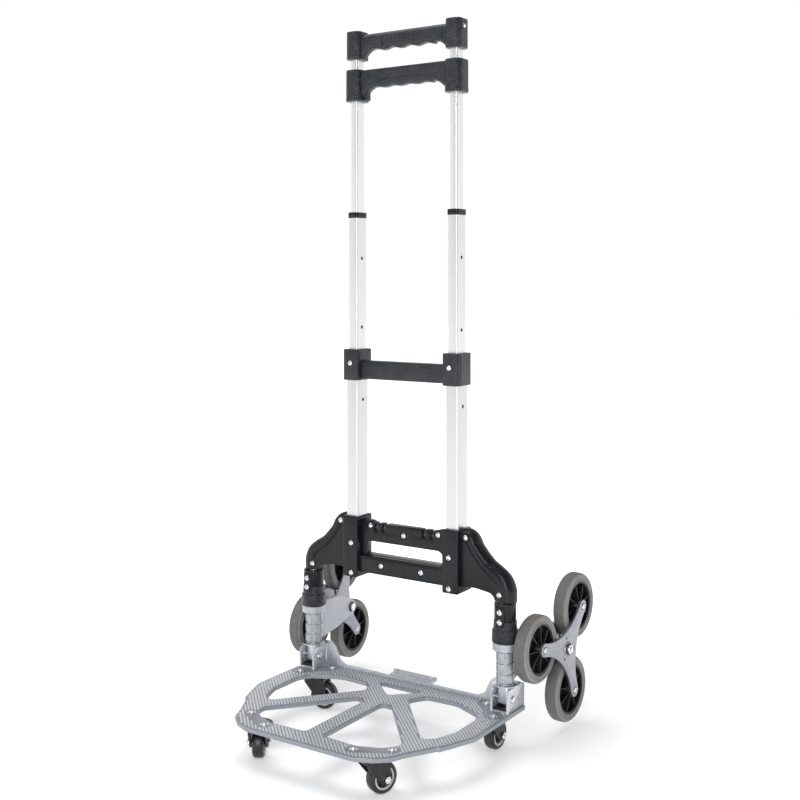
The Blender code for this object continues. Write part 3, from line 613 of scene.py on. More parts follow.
def post(name, size, side, body, look, holes=()):
    """A rounded rectangular tube with cross holes, each filled by a dark pin: painted shade for the dark
    inside of the hole.
    """
    width, depth, wall, low, high = size
    centre = (side * POST_X, 0)
    inner = rectangle(width - 2 * wall, depth - 2 * wall, 0.0014, centre)
    tube = bevelled(post_room(size, side, low, high, 0), 0.0003, 1)
    cut(tube, prism(inner, low - PASS, high + PASS))
    for height in holes:
        cut(tube, cylinder(PIN_HOLE_RADIUS, 0, 0.04, facing((centre[0] - 0.02, 0, height), (1, 0, 0)), 24))
    piece(tube, name + "_tube", body, look, name)
    # Dark pins in every hole: painted shade for the inside of the holes
    shade_pins = []
    reach = wall + 0.0012
    pin = [(0, reach), (0.0012, reach), (0.0020, reach - 0.0008), (0.0020, 0), (0, 0)]
    for height in holes:
        for way in (-1, 1):
            start = facing((centre[0] + way * (width / 2 - wall - 0.001), 0, height), (way, 0, 0))
            shade_pins.append(lathe(pin, start, 20))
    if shade_pins:
        piece(gathered(shade_pins), name + "_pins", body, STEEL)


def stage_ring(side_name, side):
    """The guide ring on top of the middle post, with a small screw at its front."""
    low = MIDDLE_POST_TOP - 0.0063
    width, depth = MIDDLE_POST[:2]
    outline = rectangle(width + 2 * RING_WALL, depth + 2 * RING_WALL, 0.0032, (side * POST_X, 0))
    ring = bevelled(prism(outline, low, MIDDLE_POST_TOP + 0.0019), 0.0006, 2)
    step = MIDDLE_POST_TOP + GAP
    cut(ring, post_room(MIDDLE_POST, side, low - PASS, step, GAP))
    cut(ring, post_room(INNER_POST, side, low, step + 0.003, 2 * GAP))
    name = f"stage_ring_{side_name}"
    piece(ring, name + "_moulding", "middle_stage", BLACK, name)
    head = (side * POST_X, -depth / 2 - RING_WALL, low + 0.0030)
    piece(front_screws([head], radius=0.0020, height=0.0008), name + "_screw", "middle_stage", STEEL)


for side_name, side in SIDES.items():
    post(f"outer_post_{side_name}", OUTER_POST, side, "frame", OUTER_ALUMINIUM, [0.461])
    post(f"middle_post_{side_name}", MIDDLE_POST, side, "middle_stage", MIDDLE_ALUMINIUM, [0.567, 0.668])
    post(f"inner_post_{side_name}", INNER_POST, side, "inner_stage", INNER_ALUMINIUM)
    stage_ring(side_name, side)


# ---------- middle clamp ----------

def middle_clamp():
    """Two sleeves round the posts, tied by a bar with a rolled top edge."""
    clamp = bevelled(block((-POST_X, -0.0098, 0.4920), (POST_X, 0.0098, 0.5165)), 0.0022, 4)
    join(clamp, bevelled(block((-POST_X, -0.0075, 0.5120), (POST_X, 0.0075, 0.5185)), 0.0018, 3))
    for side in SIDES.values():
        x = side * POST_X
        sleeve = prism(rectangle(0.0266, 0.0384, 0.0046, (x, 0)), 0.4900, 0.5350)
        join(clamp, bevelled(sleeve, 0.0010, 3, 50))
        cut(clamp, block((x + 0.0128, -0.0135, 0.48), (x + 0.0140, -0.0117, 0.55)))
    for side in SIDES.values():
        passage = post_room(OUTER_POST, side, 0.48, OUTER_POST_TOP + GAP, GAP)
        cut(clamp, passage, post_room(MIDDLE_POST, side, 0.50, 0.54, 2 * GAP))
    return clamp


piece(middle_clamp(), "middle_clamp_moulding", "frame", GRIP, "middle_clamp")
MIDDLE_RIVETS = both_sides([(0.0842, -0.0199, 0.5150)])
piece(front_screws(MIDDLE_RIVETS, rivet, radius=0.0036), "middle_clamp_rivets", "frame", ZINC)


# ---------- base clamp ----------

SHOULDER_PATH = [
    (0.0950, 0.2828, 0.0098), (0.1050, 0.2826, 0.0106), (0.1122, 0.2775, 0.0102), (0.1175, 0.2685, 0.0096),
    (0.1265, 0.2570, 0.0100), (0.1375, 0.2455, 0.0105), (0.1500, 0.2372, 0.0110), (0.1598, 0.2285, 0.0120),
    (0.1642, 0.2180, 0.0131), (0.1642, 0.2080, 0.0138), (0.1638, 0.2018, 0.0140),
]
SHOULDER_WEB = [
    (0.090, 0.2885, 0), (0.1080, 0.2885, 0.004), (0.1190, 0.2700, 0.010), (0.1330, 0.2500, 0.03),
    (0.1600, 0.2310, 0.02), (0.1700, 0.2150, 0.01), (0.1700, 0.2025, 0.0005), (0.1510, 0.2025, 0.0005),
    (0.1480, 0.2110, 0.012), (0.1200, 0.2150, 0.02), (0.090, 0.2130, 0),
]
PANEL = [
    (-0.076, 0.2120, 0), (0.076, 0.2120, 0), (0.076, 0.2862, 0), (0.058, 0.2862, 0.004),
    (0.052, 0.2838, 0.004), (-0.052, 0.2838, 0.004), (-0.058, 0.2862, 0.004), (-0.076, 0.2862, 0),
]
HAND_SLOT = [
    (-0.0655, 0.2365, 0.0050), (0.0655, 0.2365, 0.0050), (0.0655, 0.2565, 0.0092), (-0.0655, 0.2565, 0.0092),
]
NOTCH_X = (0.0345, 0.0480)
BASE_BOLTS = both_sides([
    (0.1062, -0.0131, 0.2822), (0.0830, -0.0193, 0.2529), (0.0830, -0.0193, 0.2096),
    (0.0580, -0.0061, 0.2787), (0.0340, -0.0136, 0.2242), (0.1590, -0.0131, 0.2112),
]) + [(0, -0.0061, 0.2704)]
THROUGH = 0.03
SPLIT = 0.00022
SEAT_DEPTH = 0.0007


def shoulder(side):
    """The rounded rim that runs from a post box down to the leg."""
    sections = []
    stations = smoothed(SHOULDER_PATH, 5)
    for i, (x, z, radius) in enumerate(stations):
        ahead = stations[min(i + 1, len(stations) - 1)]
        behind = stations[max(i - 1, 0)]
        along = Vector((ahead[0] - behind[0], ahead[1] - behind[1])).normalized()
        ring = ellipse(radius, 0.0132, 2.3, 32)
        sections.append([(side * (x - along.y * a), b, z + along.x * a) for a, b in ring])
    return loft(sections)


def notch(x):
    """A cord slot with a round seat, leaning towards the middle."""
    lean = math.copysign(0.0035, -x)
    left, right = x - 0.0023, x + 0.0023
    low, high = 0.2755, 0.29
    slot = [(left, low), (left + lean, high), (right + lean, high), (right, low)]
    seat = cylinder(0.0034, -THROUGH, THROUGH, facing((x, 0, low - 0.0010), (0, 1, 0)), 24)
    return front_prism(slot, -THROUGH, THROUGH), seat


def base_clamp():
    """Both halves in one, before the split."""
    panel = front_prism(rounded(PANEL), -0.0062, 0.0062)
    for side in SIDES.values():
        for notch_x in NOTCH_X:
            cut(panel, *notch(side * notch_x))
    cut(panel, front_prism(rounded(HAND_SLOT), -THROUGH, THROUGH))
    baked(bevelled(panel, 0.0008, 2))
    lower_bar = bevelled(block((-0.074, -0.0137, 0.2110), (0.074, 0.0137, 0.2362)), 0.0026, 4)
    groove = block((-0.0640, -0.0180, 0.2320), (0.0640, -0.0123, 0.2330))
    join(panel, cut(lower_bar, groove))
    for side in SIDES.values():
        web = front_prism(rounded([(side * a, b, r) for a, b, r in SHOULDER_WEB]), -0.0108, 0.0108)
        join(panel, bevelled(web, 0.0030, 3), shoulder(side))
        low_x, high_x = sorted((side * POST_X - 0.0127, side * POST_X + 0.0127))
        join(panel, bevelled(block((low_x, -0.0195, 0.2035), (high_x, 0.0195, 0.2914)), 0.0021, 4))
    for side in SIDES.values():
        cut(panel, post_room(OUTER_POST, side, OUTER_POST[3] - PASS, 0.30, GAP))
        cut(panel, cylinder(LEG_BORE, 0.19, LEG_TOP + 0.0005, leg_place(side)))
    for x, y, z in BASE_BOLTS:
        cut(panel, cylinder(0.0050, 0, 0.01, facing((x, y + SEAT_DEPTH, z), (0, -1, 0)), 24))
    return panel


def half(whole, sign):
    """The part of a body on one side of Y = 0, a hair's breadth away from it."""
    shape = bmesh.new()
    shape.from_mesh(whole.data)
    everything = list(shape.verts) + list(shape.edges) + list(shape.faces)
    sliced = bmesh.ops.bisect_plane(shape, geom=everything, plane_co=(0, sign * SPLIT, 0),
                                    plane_no=(0, -sign, 0), clear_outer=True)
    rim = [item for item in sliced["geom_cut"] if isinstance(item, bmesh.types.BMEdge)]
    bmesh.ops.triangle_fill(shape, edges=rim, use_beauty=True)
    return new_object("half", shape)


WHOLE_CLAMP = base_clamp()
for end, sign in {"front": -1, "rear": 1}.items():
    piece(half(WHOLE_CLAMP, sign), f"base_clamp_{end}_moulding", "frame", BLACK, f"base_clamp_{end}")
bpy.data.objects.remove(WHOLE_CLAMP)
BASE_HEADS = [(x, y + SEAT_DEPTH, z) for x, y, z in BASE_BOLTS]
piece(front_screws(BASE_HEADS, radius=0.0040, height=0.0022), "base_clamp_screws", "frame", ZINC)
REAR_NUTS = [hex_nut(facing((x, -y - 0.0009, z), (0, 1, 0)), 0.0042, 0.0022) for x, y, z in BASE_BOLTS]
piece(gathered(REAR_NUTS), "base_clamp_nuts", "frame", ZINC)


# ---------- handles ----------

GRIP_HALF_LENGTH = 0.0745


def finger_wave(x, half_grip, depth, fingers):
    if abs(x) > half_grip:
        return 0.0
    return depth * math.sin(math.pi * fingers * (x + half_grip) / (2 * half_grip)) ** 2


def grip(half_length, top, bottom_at, half_depth, power, count=64):
    """A bar along X whose lower edge follows bottom_at(x)."""
    sections = []
    for k in range(count + 1):
        x = half_length * (2 * k / count - 1)
        low = bottom_at(x)
        middle = (top + low) / 2
        ring = ellipse(half_depth, (top - low) / 2, power, 28)
        sections.append([(x, a, middle + b) for a, b in ring])
    return loft(sections)


def post_socket(x, width, depth, low, high):
    """An upright rounded socket."""
    return bevelled(prism(rectangle(width, depth, width * 0.36, (x, 0), 8), low, high), 0.0016, 3, 50)


def waved_edge(height, waves, arch_start, arch_width, arch_depth, arch_power):
    """The lower edge of a grip, as a function of x: finger waves that end in an arch at each side."""
    def lower_edge(x):
        arch = min(max(0.0, (abs(x) - arch_start) / arch_width), 1.0)
        return height - finger_wave(x, *waves) - arch_depth * arch ** arch_power
    return lower_edge


def top_handle():
    edge = waved_edge(0.9722, (0.050, 0.0027, 3.5), 0.052, 0.020, 0.0120, 2.2)
    handle = grip(GRIP_HALF_LENGTH, 0.9950, edge, 0.0090, 3.4)
    for side in SIDES.values():
        join(handle, post_socket(side * POST_X, 0.0255, 0.0310, 0.9588, 1.0))
    for x in (-0.0350, 0.0660):
        cut(handle, block((x - 0.0006, -0.02, 0.9735), (x + 0.0006, -0.0078, 0.9895)))
    for side in SIDES.values():
        cut(handle, post_room(INNER_POST, side, 0.95, INNER_POST[4] + GAP, GAP))
    return handle


ARCH = [
    (-0.0700, 0.9090), (-0.0640, 0.9145), (-0.0540, 0.9210), (-0.0360, 0.9262), (-0.0180, 0.9278),
    (0.0080, 0.9282), (0.0420, 0.9262), (0.0590, 0.9228), (0.0680, 0.9165), (0.0740, 0.9090),
]


def release_handle():
    """A flat upper panel over an arch, with the waved grip set back below it."""
    length, top, foot = GRIP_HALF_LENGTH, 0.9420, ARCH[0][1]
    outline = [(-length, top), (length, top), (length, foot)] + smoothed(ARCH, 5)[::-1] + [(-length, foot)]
    handle = bevelled(front_prism(outline, -0.0096, 0.0096), 0.0012, 3, 45)
    edge = waved_edge(0.9168, (0.048, 0.0016, 3.5), 0.050, 0.024, 0.0170, 1.8)
    join(handle, grip(length, 0.9365, edge, 0.0082, 3.2))
    for side in SIDES.values():
        x = side * POST_X
        low = 0.8976
        foot_rim = prism(rectangle(0.0276, 0.0331, 0.0270 * 0.38, (x, 0), 8), low, low + 0.0075)
        socket = join(post_socket(x, 0.0270, 0.0325, low, 0.9437), bevelled(foot_rim, 0.0012, 3, 50))
        join(handle, socket)
    join(handle, bevelled(block((-0.0690, -0.0052, 0.8985), (-0.0645, 0.0052, 0.9160)), 0.0010, 2))
    for side in SIDES.values():
        cut(handle, post_room(INNER_POST, side, 0.88, 0.96, 2 * GAP))
    return handle


piece(top_handle(), "top_handle_moulding", "inner_stage", GRIP, "top_handle")
piece(release_handle(), "release_handle_moulding", "release", GRIP, "release_handle")
SCREW_X = POST_X + 0.0126
END_SCREWS = [dome_screw(facing((side * SCREW_X, 0, 0.9895), (side, 0, 0)), 0.0030, 0.0014)
              for side in SIDES.values()]
piece(gathered(END_SCREWS), "top_handle_screws", "inner_stage", ZINC)


# ---------- legs ----------

def leg(side_name, side):
    here = leg_place(side)
    x = side * LEG_X
    name = f"leg_{side_name}"
    tube = [(0, LEG_TOP), (0.0078, LEG_TOP), (0.0080, 0.2130), (0.0080, 0.0890), (0.0072, 0.0884)]
    tube += [(0.0070, 0.0640), (0.0060, 0.0627), (0, 0.0627)]
    piece(lathe(tube, here, 40), name + "_tube", "frame", ZINC, f"leg_tube_{side_name}")
    foot = bevelled(prism(ellipse(0.0102, 0.0078, 2.6, 40), 0.0655, 0.0894, here), 0.0008, 2, 50)
    piece(foot, name + "_foot", "frame", PRESSED)

    socket = [(LEG_BORE, 0.2010), (0.0144, 0.2010), (0.0150, 0.2004)]
    socket += [(0.0150, 0.1788), (0.0146, 0.1780), (LEG_BORE, 0.1780)]
    upper = lathe(socket, here, 56, ring=True)
    boss = bevelled(block((x - 0.0066, -0.0200, 0.1700), (x + 0.0066, -0.0130, 0.1978)), 0.0014, 3)
    piece(join(upper, boss), name + "_socket", "frame", BLACK, f"leg_socket_{side_name}")

    skirt = [(LEG_BORE, 0.1776), (0.0150, 0.1776), (0.0158, 0.1768), (0.0160, 0.1700), (0.0164, 0.1655)]
    skirt += [(0.0178, 0.1646), (0.0182, 0.1600), (0.0185, 0.1490), (0.0178, 0.1480), (LEG_BORE, 0.1480)]
    piece(lathe(skirt, here, 56, ring=True), name + "_skirt", "frame", GRIP)

    washer = [(LEG_BORE, 0.0912), (0.0168, 0.0912), (0.0174, 0.0908)]
    washer += [(0.0174, 0.0900), (0.0168, 0.0896), (LEG_BORE, 0.0896)]
    washer = lathe(washer, here, 56, ring=True)
    piece(washer, name + "_washer", "frame", ZINC, f"flange_washer_{side_name}")


for side_name, side in SIDES.items():
    leg(side_name, side)
SOCKET_BOLTS = both_sides([(0.1637, -0.0200, 0.1901), (0.1637, -0.0200, 0.1768)])
piece(front_screws(SOCKET_BOLTS, radius=0.0040, height=0.0022), "leg_socket_screws", "frame", ZINC)


# ---------- star carriers ----------

def carrier_frame(side):
    """At the leg's foot: X runs rearwards along the web, Y up, Z outwards along the star's axle."""
    outwards = Vector((side * math.cos(SPLAY), -math.sin(SPLAY), 0))
    rearwards = Vector((side * math.sin(SPLAY), math.cos(SPLAY), 0))
    matrix = Matrix((rearwards, Vector((0, 0, 1)), outwards)).transposed().to_4x4()
    return leg_place(side) @ matrix


WEB = [
    (0.0080, 0.1430, 0), (0.0200, 0.1440, 0.001), (0.0215, 0.1468, 0.002), (0.0620, 0.1460, 0.02),
    (0.0905, 0.1370, 0.014), (0.1105, 0.1265, 0.0125), (0.1080, 0.1090, 0.0125), (0.0880, 0.1065, 0.012),
    (0.0600, 0.0990, 0.02), (0.0130, 0.0930, 0.001), (0.0080, 0.0930, 0),
]
PANEL_ROWS = [(0.0940, 0.1052), (0.1084, 0.1196), (0.1228, 0.1348)]


def curved_panel(angle, half_angle, low, high, inside, outside):
    """A patch of a cylinder's wall."""
    outer = arc((0, 0), outside, angle - half_angle, angle + half_angle, 6)
    inner = arc((0, 0), inside, angle + half_angle, angle - half_angle, 6)
    return bevelled(prism(outer + inner, low, high), 0.0003, 2, 40)


def star_carrier(side_name, side):
    here = leg_place(side)
    rim = [(LEG_BORE, 0.1476), (0.0168, 0.1476), (0.01735, 0.1470), (0.01735, 0.1378), (0.0168, 0.1372)]
    neck = [(0.0124, 0.1368), (0.0109, 0.1360), (0.0109, 0.0932)]
    foot = [(0.0122, 0.0928), (0.0124, 0.0916), (LEG_BORE, 0.0916)]
    sleeve = lathe(rim + neck + foot, here, 64, ring=True)
    details = []
    for low, high in PANEL_ROWS:
        for k in range(6):
            details.append(curved_panel(60 * k - 90, 23, low, high, 0.0106, 0.0125))
    casing = gathered(details)
    casing.data.transform(here)
    piece(casing, f"carrier_{side_name}_panels", "frame", CAST)

    axes = carrier_frame(side)
    hub = axes @ Matrix.Translation((STAR_REACH, STAR_HEIGHT, 0))
    web = bevelled(prism(rounded(WEB), -0.0035, 0.0035, axes), 0.0013, 3)
    top = INNER_PLATE - GAP
    boss = lathe([(0, top), (0.0080, top), (0.0086, top - 0.0006), (0.0108, 0), (0, 0)], hub, 48)
    inner_boss = lathe([(0, -0.0044), (0.0088, -0.0044), (0.0094, -0.0038), (0.0094, 0), (0, 0)], hub, 48)
    join(sleeve, web, boss, inner_boss)
    cut(sleeve, cylinder(AXLE_BORE, 0.05, -0.05, hub))
    cut(sleeve, cylinder(LEG_BORE, 0.2, 0.05, here, 48))
    piece(sleeve, f"carrier_{side_name}_casting", "frame", CAST, f"star_carrier_{side_name}")

    low = OUTER_PLATE + STAR_THICKNESS + GAP
    tip = [(0, low + 0.0062), (0.0032, low + 0.0060), (0.0039, low + 0.0052)]
    bolt = lathe(tip + [(0.0039, -0.0050), (0, -0.0050)], hub, 32)
    nut = hex_nut(hub @ raised(low), 0.0066, 0.0042)
    head = hex_nut(hub @ raised(-0.0084), 0.0062, 0.0039)
    piece(gathered([bolt, nut, head]), f"star_{side_name}_axle_bolt", "frame", ZINC, f"star_axle_{side_name}")
    seal = [(0.0055, -0.0043), (0.0078, -0.0043), (0.0078, -0.0047), (0.0055, -0.0047)]
    piece(lathe(seal, hub, 40, ring=True), f"star_{side_name}_axle_seal", "frame", HUB)


for side_name, side in SIDES.items():
    star_carrier(side_name, side)


# ---------- stars ----------

RIB_HALF_WIDTH = 0.0006


def star_outline():
    """Three arms with round ends, joined by hollow arcs that touch them."""
    end_radius = 0.0093
    waist = 0.0245
    distance = (STAR_ARM ** 2 - (waist - end_radius) ** 2) / (STAR_ARM - 2 * (waist - end_radius))
    hollow = Vector((distance * math.cos(math.pi / 3), distance * math.sin(math.pi / 3)))
    contact = math.degrees(math.atan2(hollow.y, hollow.x - STAR_ARM))
    into_hollow = math.degrees(math.atan2(-hollow.y, STAR_ARM - hollow.x)) % 360
    sector = arc((STAR_ARM, 0), end_radius, -contact, contact, 20)
    sector += arc(hollow, distance - waist, into_hollow, 480 - into_hollow, 24)[1:-1]
    points = []
    for arm in range(3):
        turn = Matrix.Rotation(2 * math.pi * arm / 3, 2)
        points += [turn @ Vector(point) for point in sector]
    return points


STAR_OUTLINE = star_outline()


def arm_place(arm):
    return Matrix.Rotation(2 * math.pi * arm / 3, 4, "Z") @ Matrix.Translation((STAR_ARM, 0, 0))


def pressed_plate(axes, low, flange_low, flange_high):
    """A plate with a bent rim, three small holes and a hole for the axle at its middle."""
    plate = bevelled(prism(STAR_OUTLINE, low, low + STAR_THICKNESS), 0.0008, 3, 40)
    rim = prism(STAR_OUTLINE, flange_low, flange_high)
    cut(rim, prism(inset(STAR_OUTLINE, 0.0013), flange_low - PASS, flange_high + PASS))
    join(plate, bevelled(rim, 0.0003, 1, 40))
    for k in range(3):
        angle = math.radians(60 + 120 * k)
        hole = Matrix.Translation((0.0165 * math.cos(angle), 0.0165 * math.sin(angle), low))
        cut(plate, cylinder(0.0022, 0.02, -0.02, hole, 20))
    cut(plate, cylinder(AXLE_BORE, 0.08, -0.02))
    plate.data.transform(axes)
    shape = bmesh.new()
    shape.from_mesh(plate.data)
    bpy.data.objects.remove(plate)
    return new_object("plate", shape)


def star(side_name, side):
    hub = carrier_frame(side) @ Matrix.Translation((STAR_REACH, STAR_HEIGHT, 0))
    axes = hub @ Matrix.Rotation(STAR_PHASE[side_name], 4, "Z")
    arms = [axes @ arm_place(arm) for arm in range(3)]
    body = f"star_{side_name}"
    top = OUTER_PLATE + STAR_THICKNESS

    inner = pressed_plate(axes, INNER_PLATE, INNER_PLATE + 0.0005, INNER_PLATE + 0.0036)
    piece(inner, f"{body}_inner_pressing", body, STAR_STEEL, f"star_inner_plate_{side_name}")
    outer = pressed_plate(axes, OUTER_PLATE, OUTER_PLATE - 0.0020, top - 0.0004)
    piece(outer, f"{body}_outer_pressing", body, STAR_STEEL, f"star_outer_plate_{side_name}")

    ridge = [(0.0080, top), (0.0086, top + 0.0009), (0.0100, top + 0.0009), (0.0107, top)]
    ridge += [(0.0107, top - 0.0005), (0.0080, top - 0.0005)]
    piece(lathe(ridge, axes, 48, ring=True), f"{body}_seat_ridge", body, STAR_STEEL)

    far, near = OUTER_PLATE - GAP, INNER_PLATE + STAR_THICKNESS
    spacer = [(AXLE_BORE, far), (0.0080, far), (0.0080, near), (AXLE_BORE, near)]
    trim = [lathe(spacer, axes, 40, ring=True)]
    for place in arms:
        trim.append(cylinder(0.0030, OUTER_PLATE, INNER_PLATE + 0.001, place, 24))
        trim.append(rivet(place @ raised(top), 0.0040, 0.0014))
        trim.append(rivet(place @ raised(INNER_PLATE) @ Matrix.Rotation(math.pi, 4, "X"), 0.0040, 0.0014))
    piece(gathered(trim), f"{body}_rivets", body, ZINC)

    # Thin dark rings round the axle nut and round each rivet: painted shade for the recesses there
    ring = [(0.0060, 0.0003), (0.0082, 0.0003), (0.0082, -0.0002), (0.0060, -0.0002)]
    edge = [(0.0036, 0.0002), (0.0050, 0.0002), (0.0052, -0.0003), (0.0036, -0.0003)]
    shade_rings = [lathe(ring, axes @ raised(top), 40, ring=True)]
    shade_rings += [lathe(edge, place @ raised(top), 32, ring=True) for place in arms]
    piece(gathered(shade_rings), f"{body}_seals", body, HUB)
    for number, place in enumerate(arms, 1):
        stair_wheel(f"{side_name}_{number}", place)


def tyre_profile():
    """Crowned tread, rounded shoulders and a shallow step on each side wall."""
    face = TYRE_WIDTH / 2
    bead = [(0, -0.0014), (0.0004, -0.0002), (0.0012, 0.0001), (0.0020, -0.0001), (0.0026, -0.0010)]
    side = [(RIM_RADIUS + out, face + rise) for out, rise in bead]
    side += [(TYRE_RADIUS - 0.0062, face - 0.0011), (TYRE_RADIUS - 0.0056, face - 0.0003)]
    side += arc((TYRE_RADIUS - 0.0048, face - 0.0045), 0.0045, 88, 12, 6)
    return both_faces(side + [(TYRE_RADIUS - 0.0001, face * 0.38)])


def spoke_ribs(outline, count, first, axes):
    """Thin upright ribs on both faces of a wheel's centre. The outline holds (radius, height) points."""
    ribs = []
    for k in range(count):
        turn = Matrix.Rotation(math.radians(360 / count * k + first), 4, "Z")
        for way in (1, -1):
            rib = prism([(x, way * y) for x, y in outline], -RIB_HALF_WIDTH, RIB_HALF_WIDTH)
            rib.data.transform(axes @ turn @ Matrix.Rotation(math.pi / 2, 4, "X"))
            ribs.append(rib)
    return ribs


def stair_wheel(name, axes):
    middle = axes @ raised(TYRE_FACE + TYRE_WIDTH / 2)
    body = f"stair_wheel_{name}"
    tyre = lathe(tyre_profile(), middle, 80, ring=True)
    piece(tyre, f"{body}_tyre", body, RUBBER, f"tyre_{name}")
    # A darker band over the running surface: painted shade
    crown = [(-0.0020, 0.0083), (-0.0009, 0.0078), (0, 0.0062), (0.0002, 0.0035)]
    flat = both_faces([(TYRE_RADIUS + out, height) for out, height in crown])
    piece(lathe(flat, middle, 80, ring=True), f"{body}_tread", body, SHADED_TREAD)

    band = RIM_RADIUS - GAP
    face = TYRE_WIDTH / 2 - 0.0012
    dish = [(0.0034, 0.0124), (0.0058, 0.0124), (0.0064, 0.0118), (0.0080, 0.0020), (band - 0.0030, 0.0018)]
    rim = [(band - 0.0026, face - 0.0004), (band - 0.0021, face), (band, face)]
    rib = [(0.0072, 0.0014), (0.0072, 0.0105), (0.0095, 0.0095)]
    rib += [(band - 0.0032, 0.0072), (band - 0.0024, 0.0014)]
    hub = [lathe(both_faces(dish + rim), middle, 64, ring=True)] + spoke_ribs(rib, 8, 11, middle)
    piece(gathered(hub), f"{body}_hub", body, HUB, f"hub_{name}")



for side_name, side in SIDES.items():
    star(side_name, side)


# ---------- toe plate ----------

PLATE_EDGE = [
    (0.1445, 0.0118, 0), (0.1445, 0.0260, 0.001), (0.1800, 0.0260, 0.005), (0.1800, -0.1120, 0.03),
    (0.1660, -0.1480, 0.01), (0.1590, -0.1650, 0.002), (0.1550, -0.1665, 0.001), (0.1350, -0.2010, 0.03),
    (0.1245, -0.2250, 0.014), (0.1080, -0.2390, 0.014), (0.0860, -0.2480, 0.03),
]
SIDE_OPENING = [
    (0.0355, -0.0480, 0.009), (0.0510, -0.0225, 0.012), (0.0980, -0.0205, 0.03), (0.1405, -0.0410, 0.012),
    (0.1495, -0.0600, 0.014), (0.1495, -0.1120, 0.02), (0.1390, -0.1400, 0.01), (0.1270, -0.1515, 0.005),
    (0.1195, -0.1475, 0.004),
]
FRONT_OPENING = [
    (0.1125, -0.1780, 0.007), (0.0300, -0.0800, 0.008), (0.0133, -0.0800, 0.008), (0.0133, -0.2145, 0.006),
    (0.0680, -0.2165, 0.03), (0.0980, -0.2050, 0.02), (0.1110, -0.1900, 0.008),
]
REAR_OPENING = [(-0.0400, -0.0105, 0.004), (0.0400, -0.0105, 0.004), (0.0, -0.0480, 0.008)]
FLANGE_HALF = [
    (0.1490, 0.0530, 0), (0.1490, 0.0930, 0.002), (0.1340, 0.0890, 0.015), (0.1240, 0.0670, 0.010),
    (0.1120, 0.0616, 0.006),
]
FRONT_BOLTS = ((0.0716, -0.2268), (0.1139, -0.2029))
REAR_BOLTS = ((0.1636, -0.0352), (0.1320, 0.0011))
PLATE_BOLTS = both_sides([(x, y, PLATE_TOP) for x, y in FRONT_BOLTS + REAR_BOLTS])
SMOOTH_PATCHES = [(*FRONT_BOLTS, 0.0105), (*REAR_BOLTS, 0.0120)]
RIB_MARGIN = 0.0020
RIB_REACH = 0.36
RIB_STEP = 0.0005
SHORTEST_RIB = 4


def mirrored(corners):
    return [(-x, y, radius) for x, y, radius in reversed(corners)]


def plate_outlines():
    edge = rounded(PLATE_EDGE + mirrored(PLATE_EDGE), 6)
    openings = [rounded(outline, 6) for outline in (SIDE_OPENING, FRONT_OPENING, REAR_OPENING)]
    openings += [rounded(mirrored(outline), 6) for outline in (SIDE_OPENING, FRONT_OPENING)]
    return edge, openings


def near_patch(x, y):
    """True on the smooth pads round each pair of caster bolts."""
    point = Vector((abs(x), y))
    for start, end, radius in SMOOTH_PATCHES:
        start = Vector(start)
        along = Vector(end) - start
        share = max(0.0, min(1.0, (point - start).dot(along) / along.length_squared))
        if (start + along * share - point).length < radius:
            return True
    return False


def crossings(outlines, offset):
    """Where the line x + y = offset * sqrt 2 crosses the outlines, as distances along (1, -1) / sqrt 2."""
    found = []
    for outline in outlines:
        for i, (bx, by) in enumerate(outline):
            ax, ay = outline[i - 1]
            before = (ax + ay) / math.sqrt(2) - offset
            after = (bx + by) / math.sqrt(2) - offset
            if (before < 0) != (after < 0):
                share = before / (before - after)
                x = ax + (bx - ax) * share
                y = ay + (by - ay) * share
                found.append((x - y) / math.sqrt(2))
    return sorted(found)


def rib_runs(outlines):
    """Start and end points of every raised rib on the plate's top."""
    count = int(RIB_REACH / RIB_PITCH)
    for k in range(-count, count):
        offset = k * RIB_PITCH
        places = crossings(outlines, offset)
        for first, last in zip(places[::2], places[1::2]):
            run = []
            for i in range(int((last - first) / RIB_STEP) + 1):
                along = first + i * RIB_STEP
                x = (offset + along) / math.sqrt(2)
                y = (offset - along) / math.sqrt(2)
                if near_patch(x, y):
                    if len(run) > SHORTEST_RIB:
                        yield run[0], run[-1]
                    run = []
                else:
                    run.append((x, y))
            if len(run) > SHORTEST_RIB:
                yield run[0], run[-1]


def plate_ribs(outlines):
    """Fine diagonal ribs with sloping sides and ends."""
    shape = bmesh.new()
    along = Vector((1, -1)).normalized()
    across = Vector((1, 1)).normalized()
    foot = RIB_PITCH * 0.36
    crest = RIB_PITCH * 0.16
    for start, end in rib_runs(outlines):
        start = Vector(start)
        end = Vector(end)
        low = []
        high = []
        for point, way in ((start, -1), (end, 1)):
            for turn in (way, -way):
                base = point + across * foot * turn
                top = point - along * way * 0.0005 + across * crest * turn
                low.append(shape.verts.new((base.x, base.y, PLATE_TOP - 0.0001)))
                high.append(shape.verts.new((top.x, top.y, PLATE_TOP + RIB_HEIGHT)))
        shape.faces.new(high)
        for i in range(4):
            shape.faces.new((low[i - 1], low[i], high[i], high[i - 1]))
    return new_object("ribs", shape)


def toe_plate():
    edge, openings = plate_outlines()
    plate = prism(edge, PLATE_TOP - PLATE_THICKNESS, PLATE_TOP)
    for opening in openings:
        cut(plate, prism(opening, PLATE_TOP - 0.01, PLATE_TOP + 0.01))
    piece(bevelled(plate, 0.0011, 3, 50), "toe_plate_casting", "toe", SHADED_PAINT, "toe_plate")
    # The flange and the ribs take the lighter copy of the paint, as painted highlight, and the plate between
    # the ribs takes the darker copy, as painted shade
    flange = front_prism(rounded(FLANGE_HALF + mirrored(FLANGE_HALF)), 0.0100, 0.0118)
    piece(bevelled(flange, 0.0006, 2, 50), "toe_plate_flange", "toe", LIT_PAINT)
    ribbed_area = [inset(edge, RIB_MARGIN + 0.0012)] + [inset(opening, -RIB_MARGIN) for opening in openings]
    piece(plate_ribs(ribbed_area), "toe_plate_ribs", "toe", LIT_PAINT)


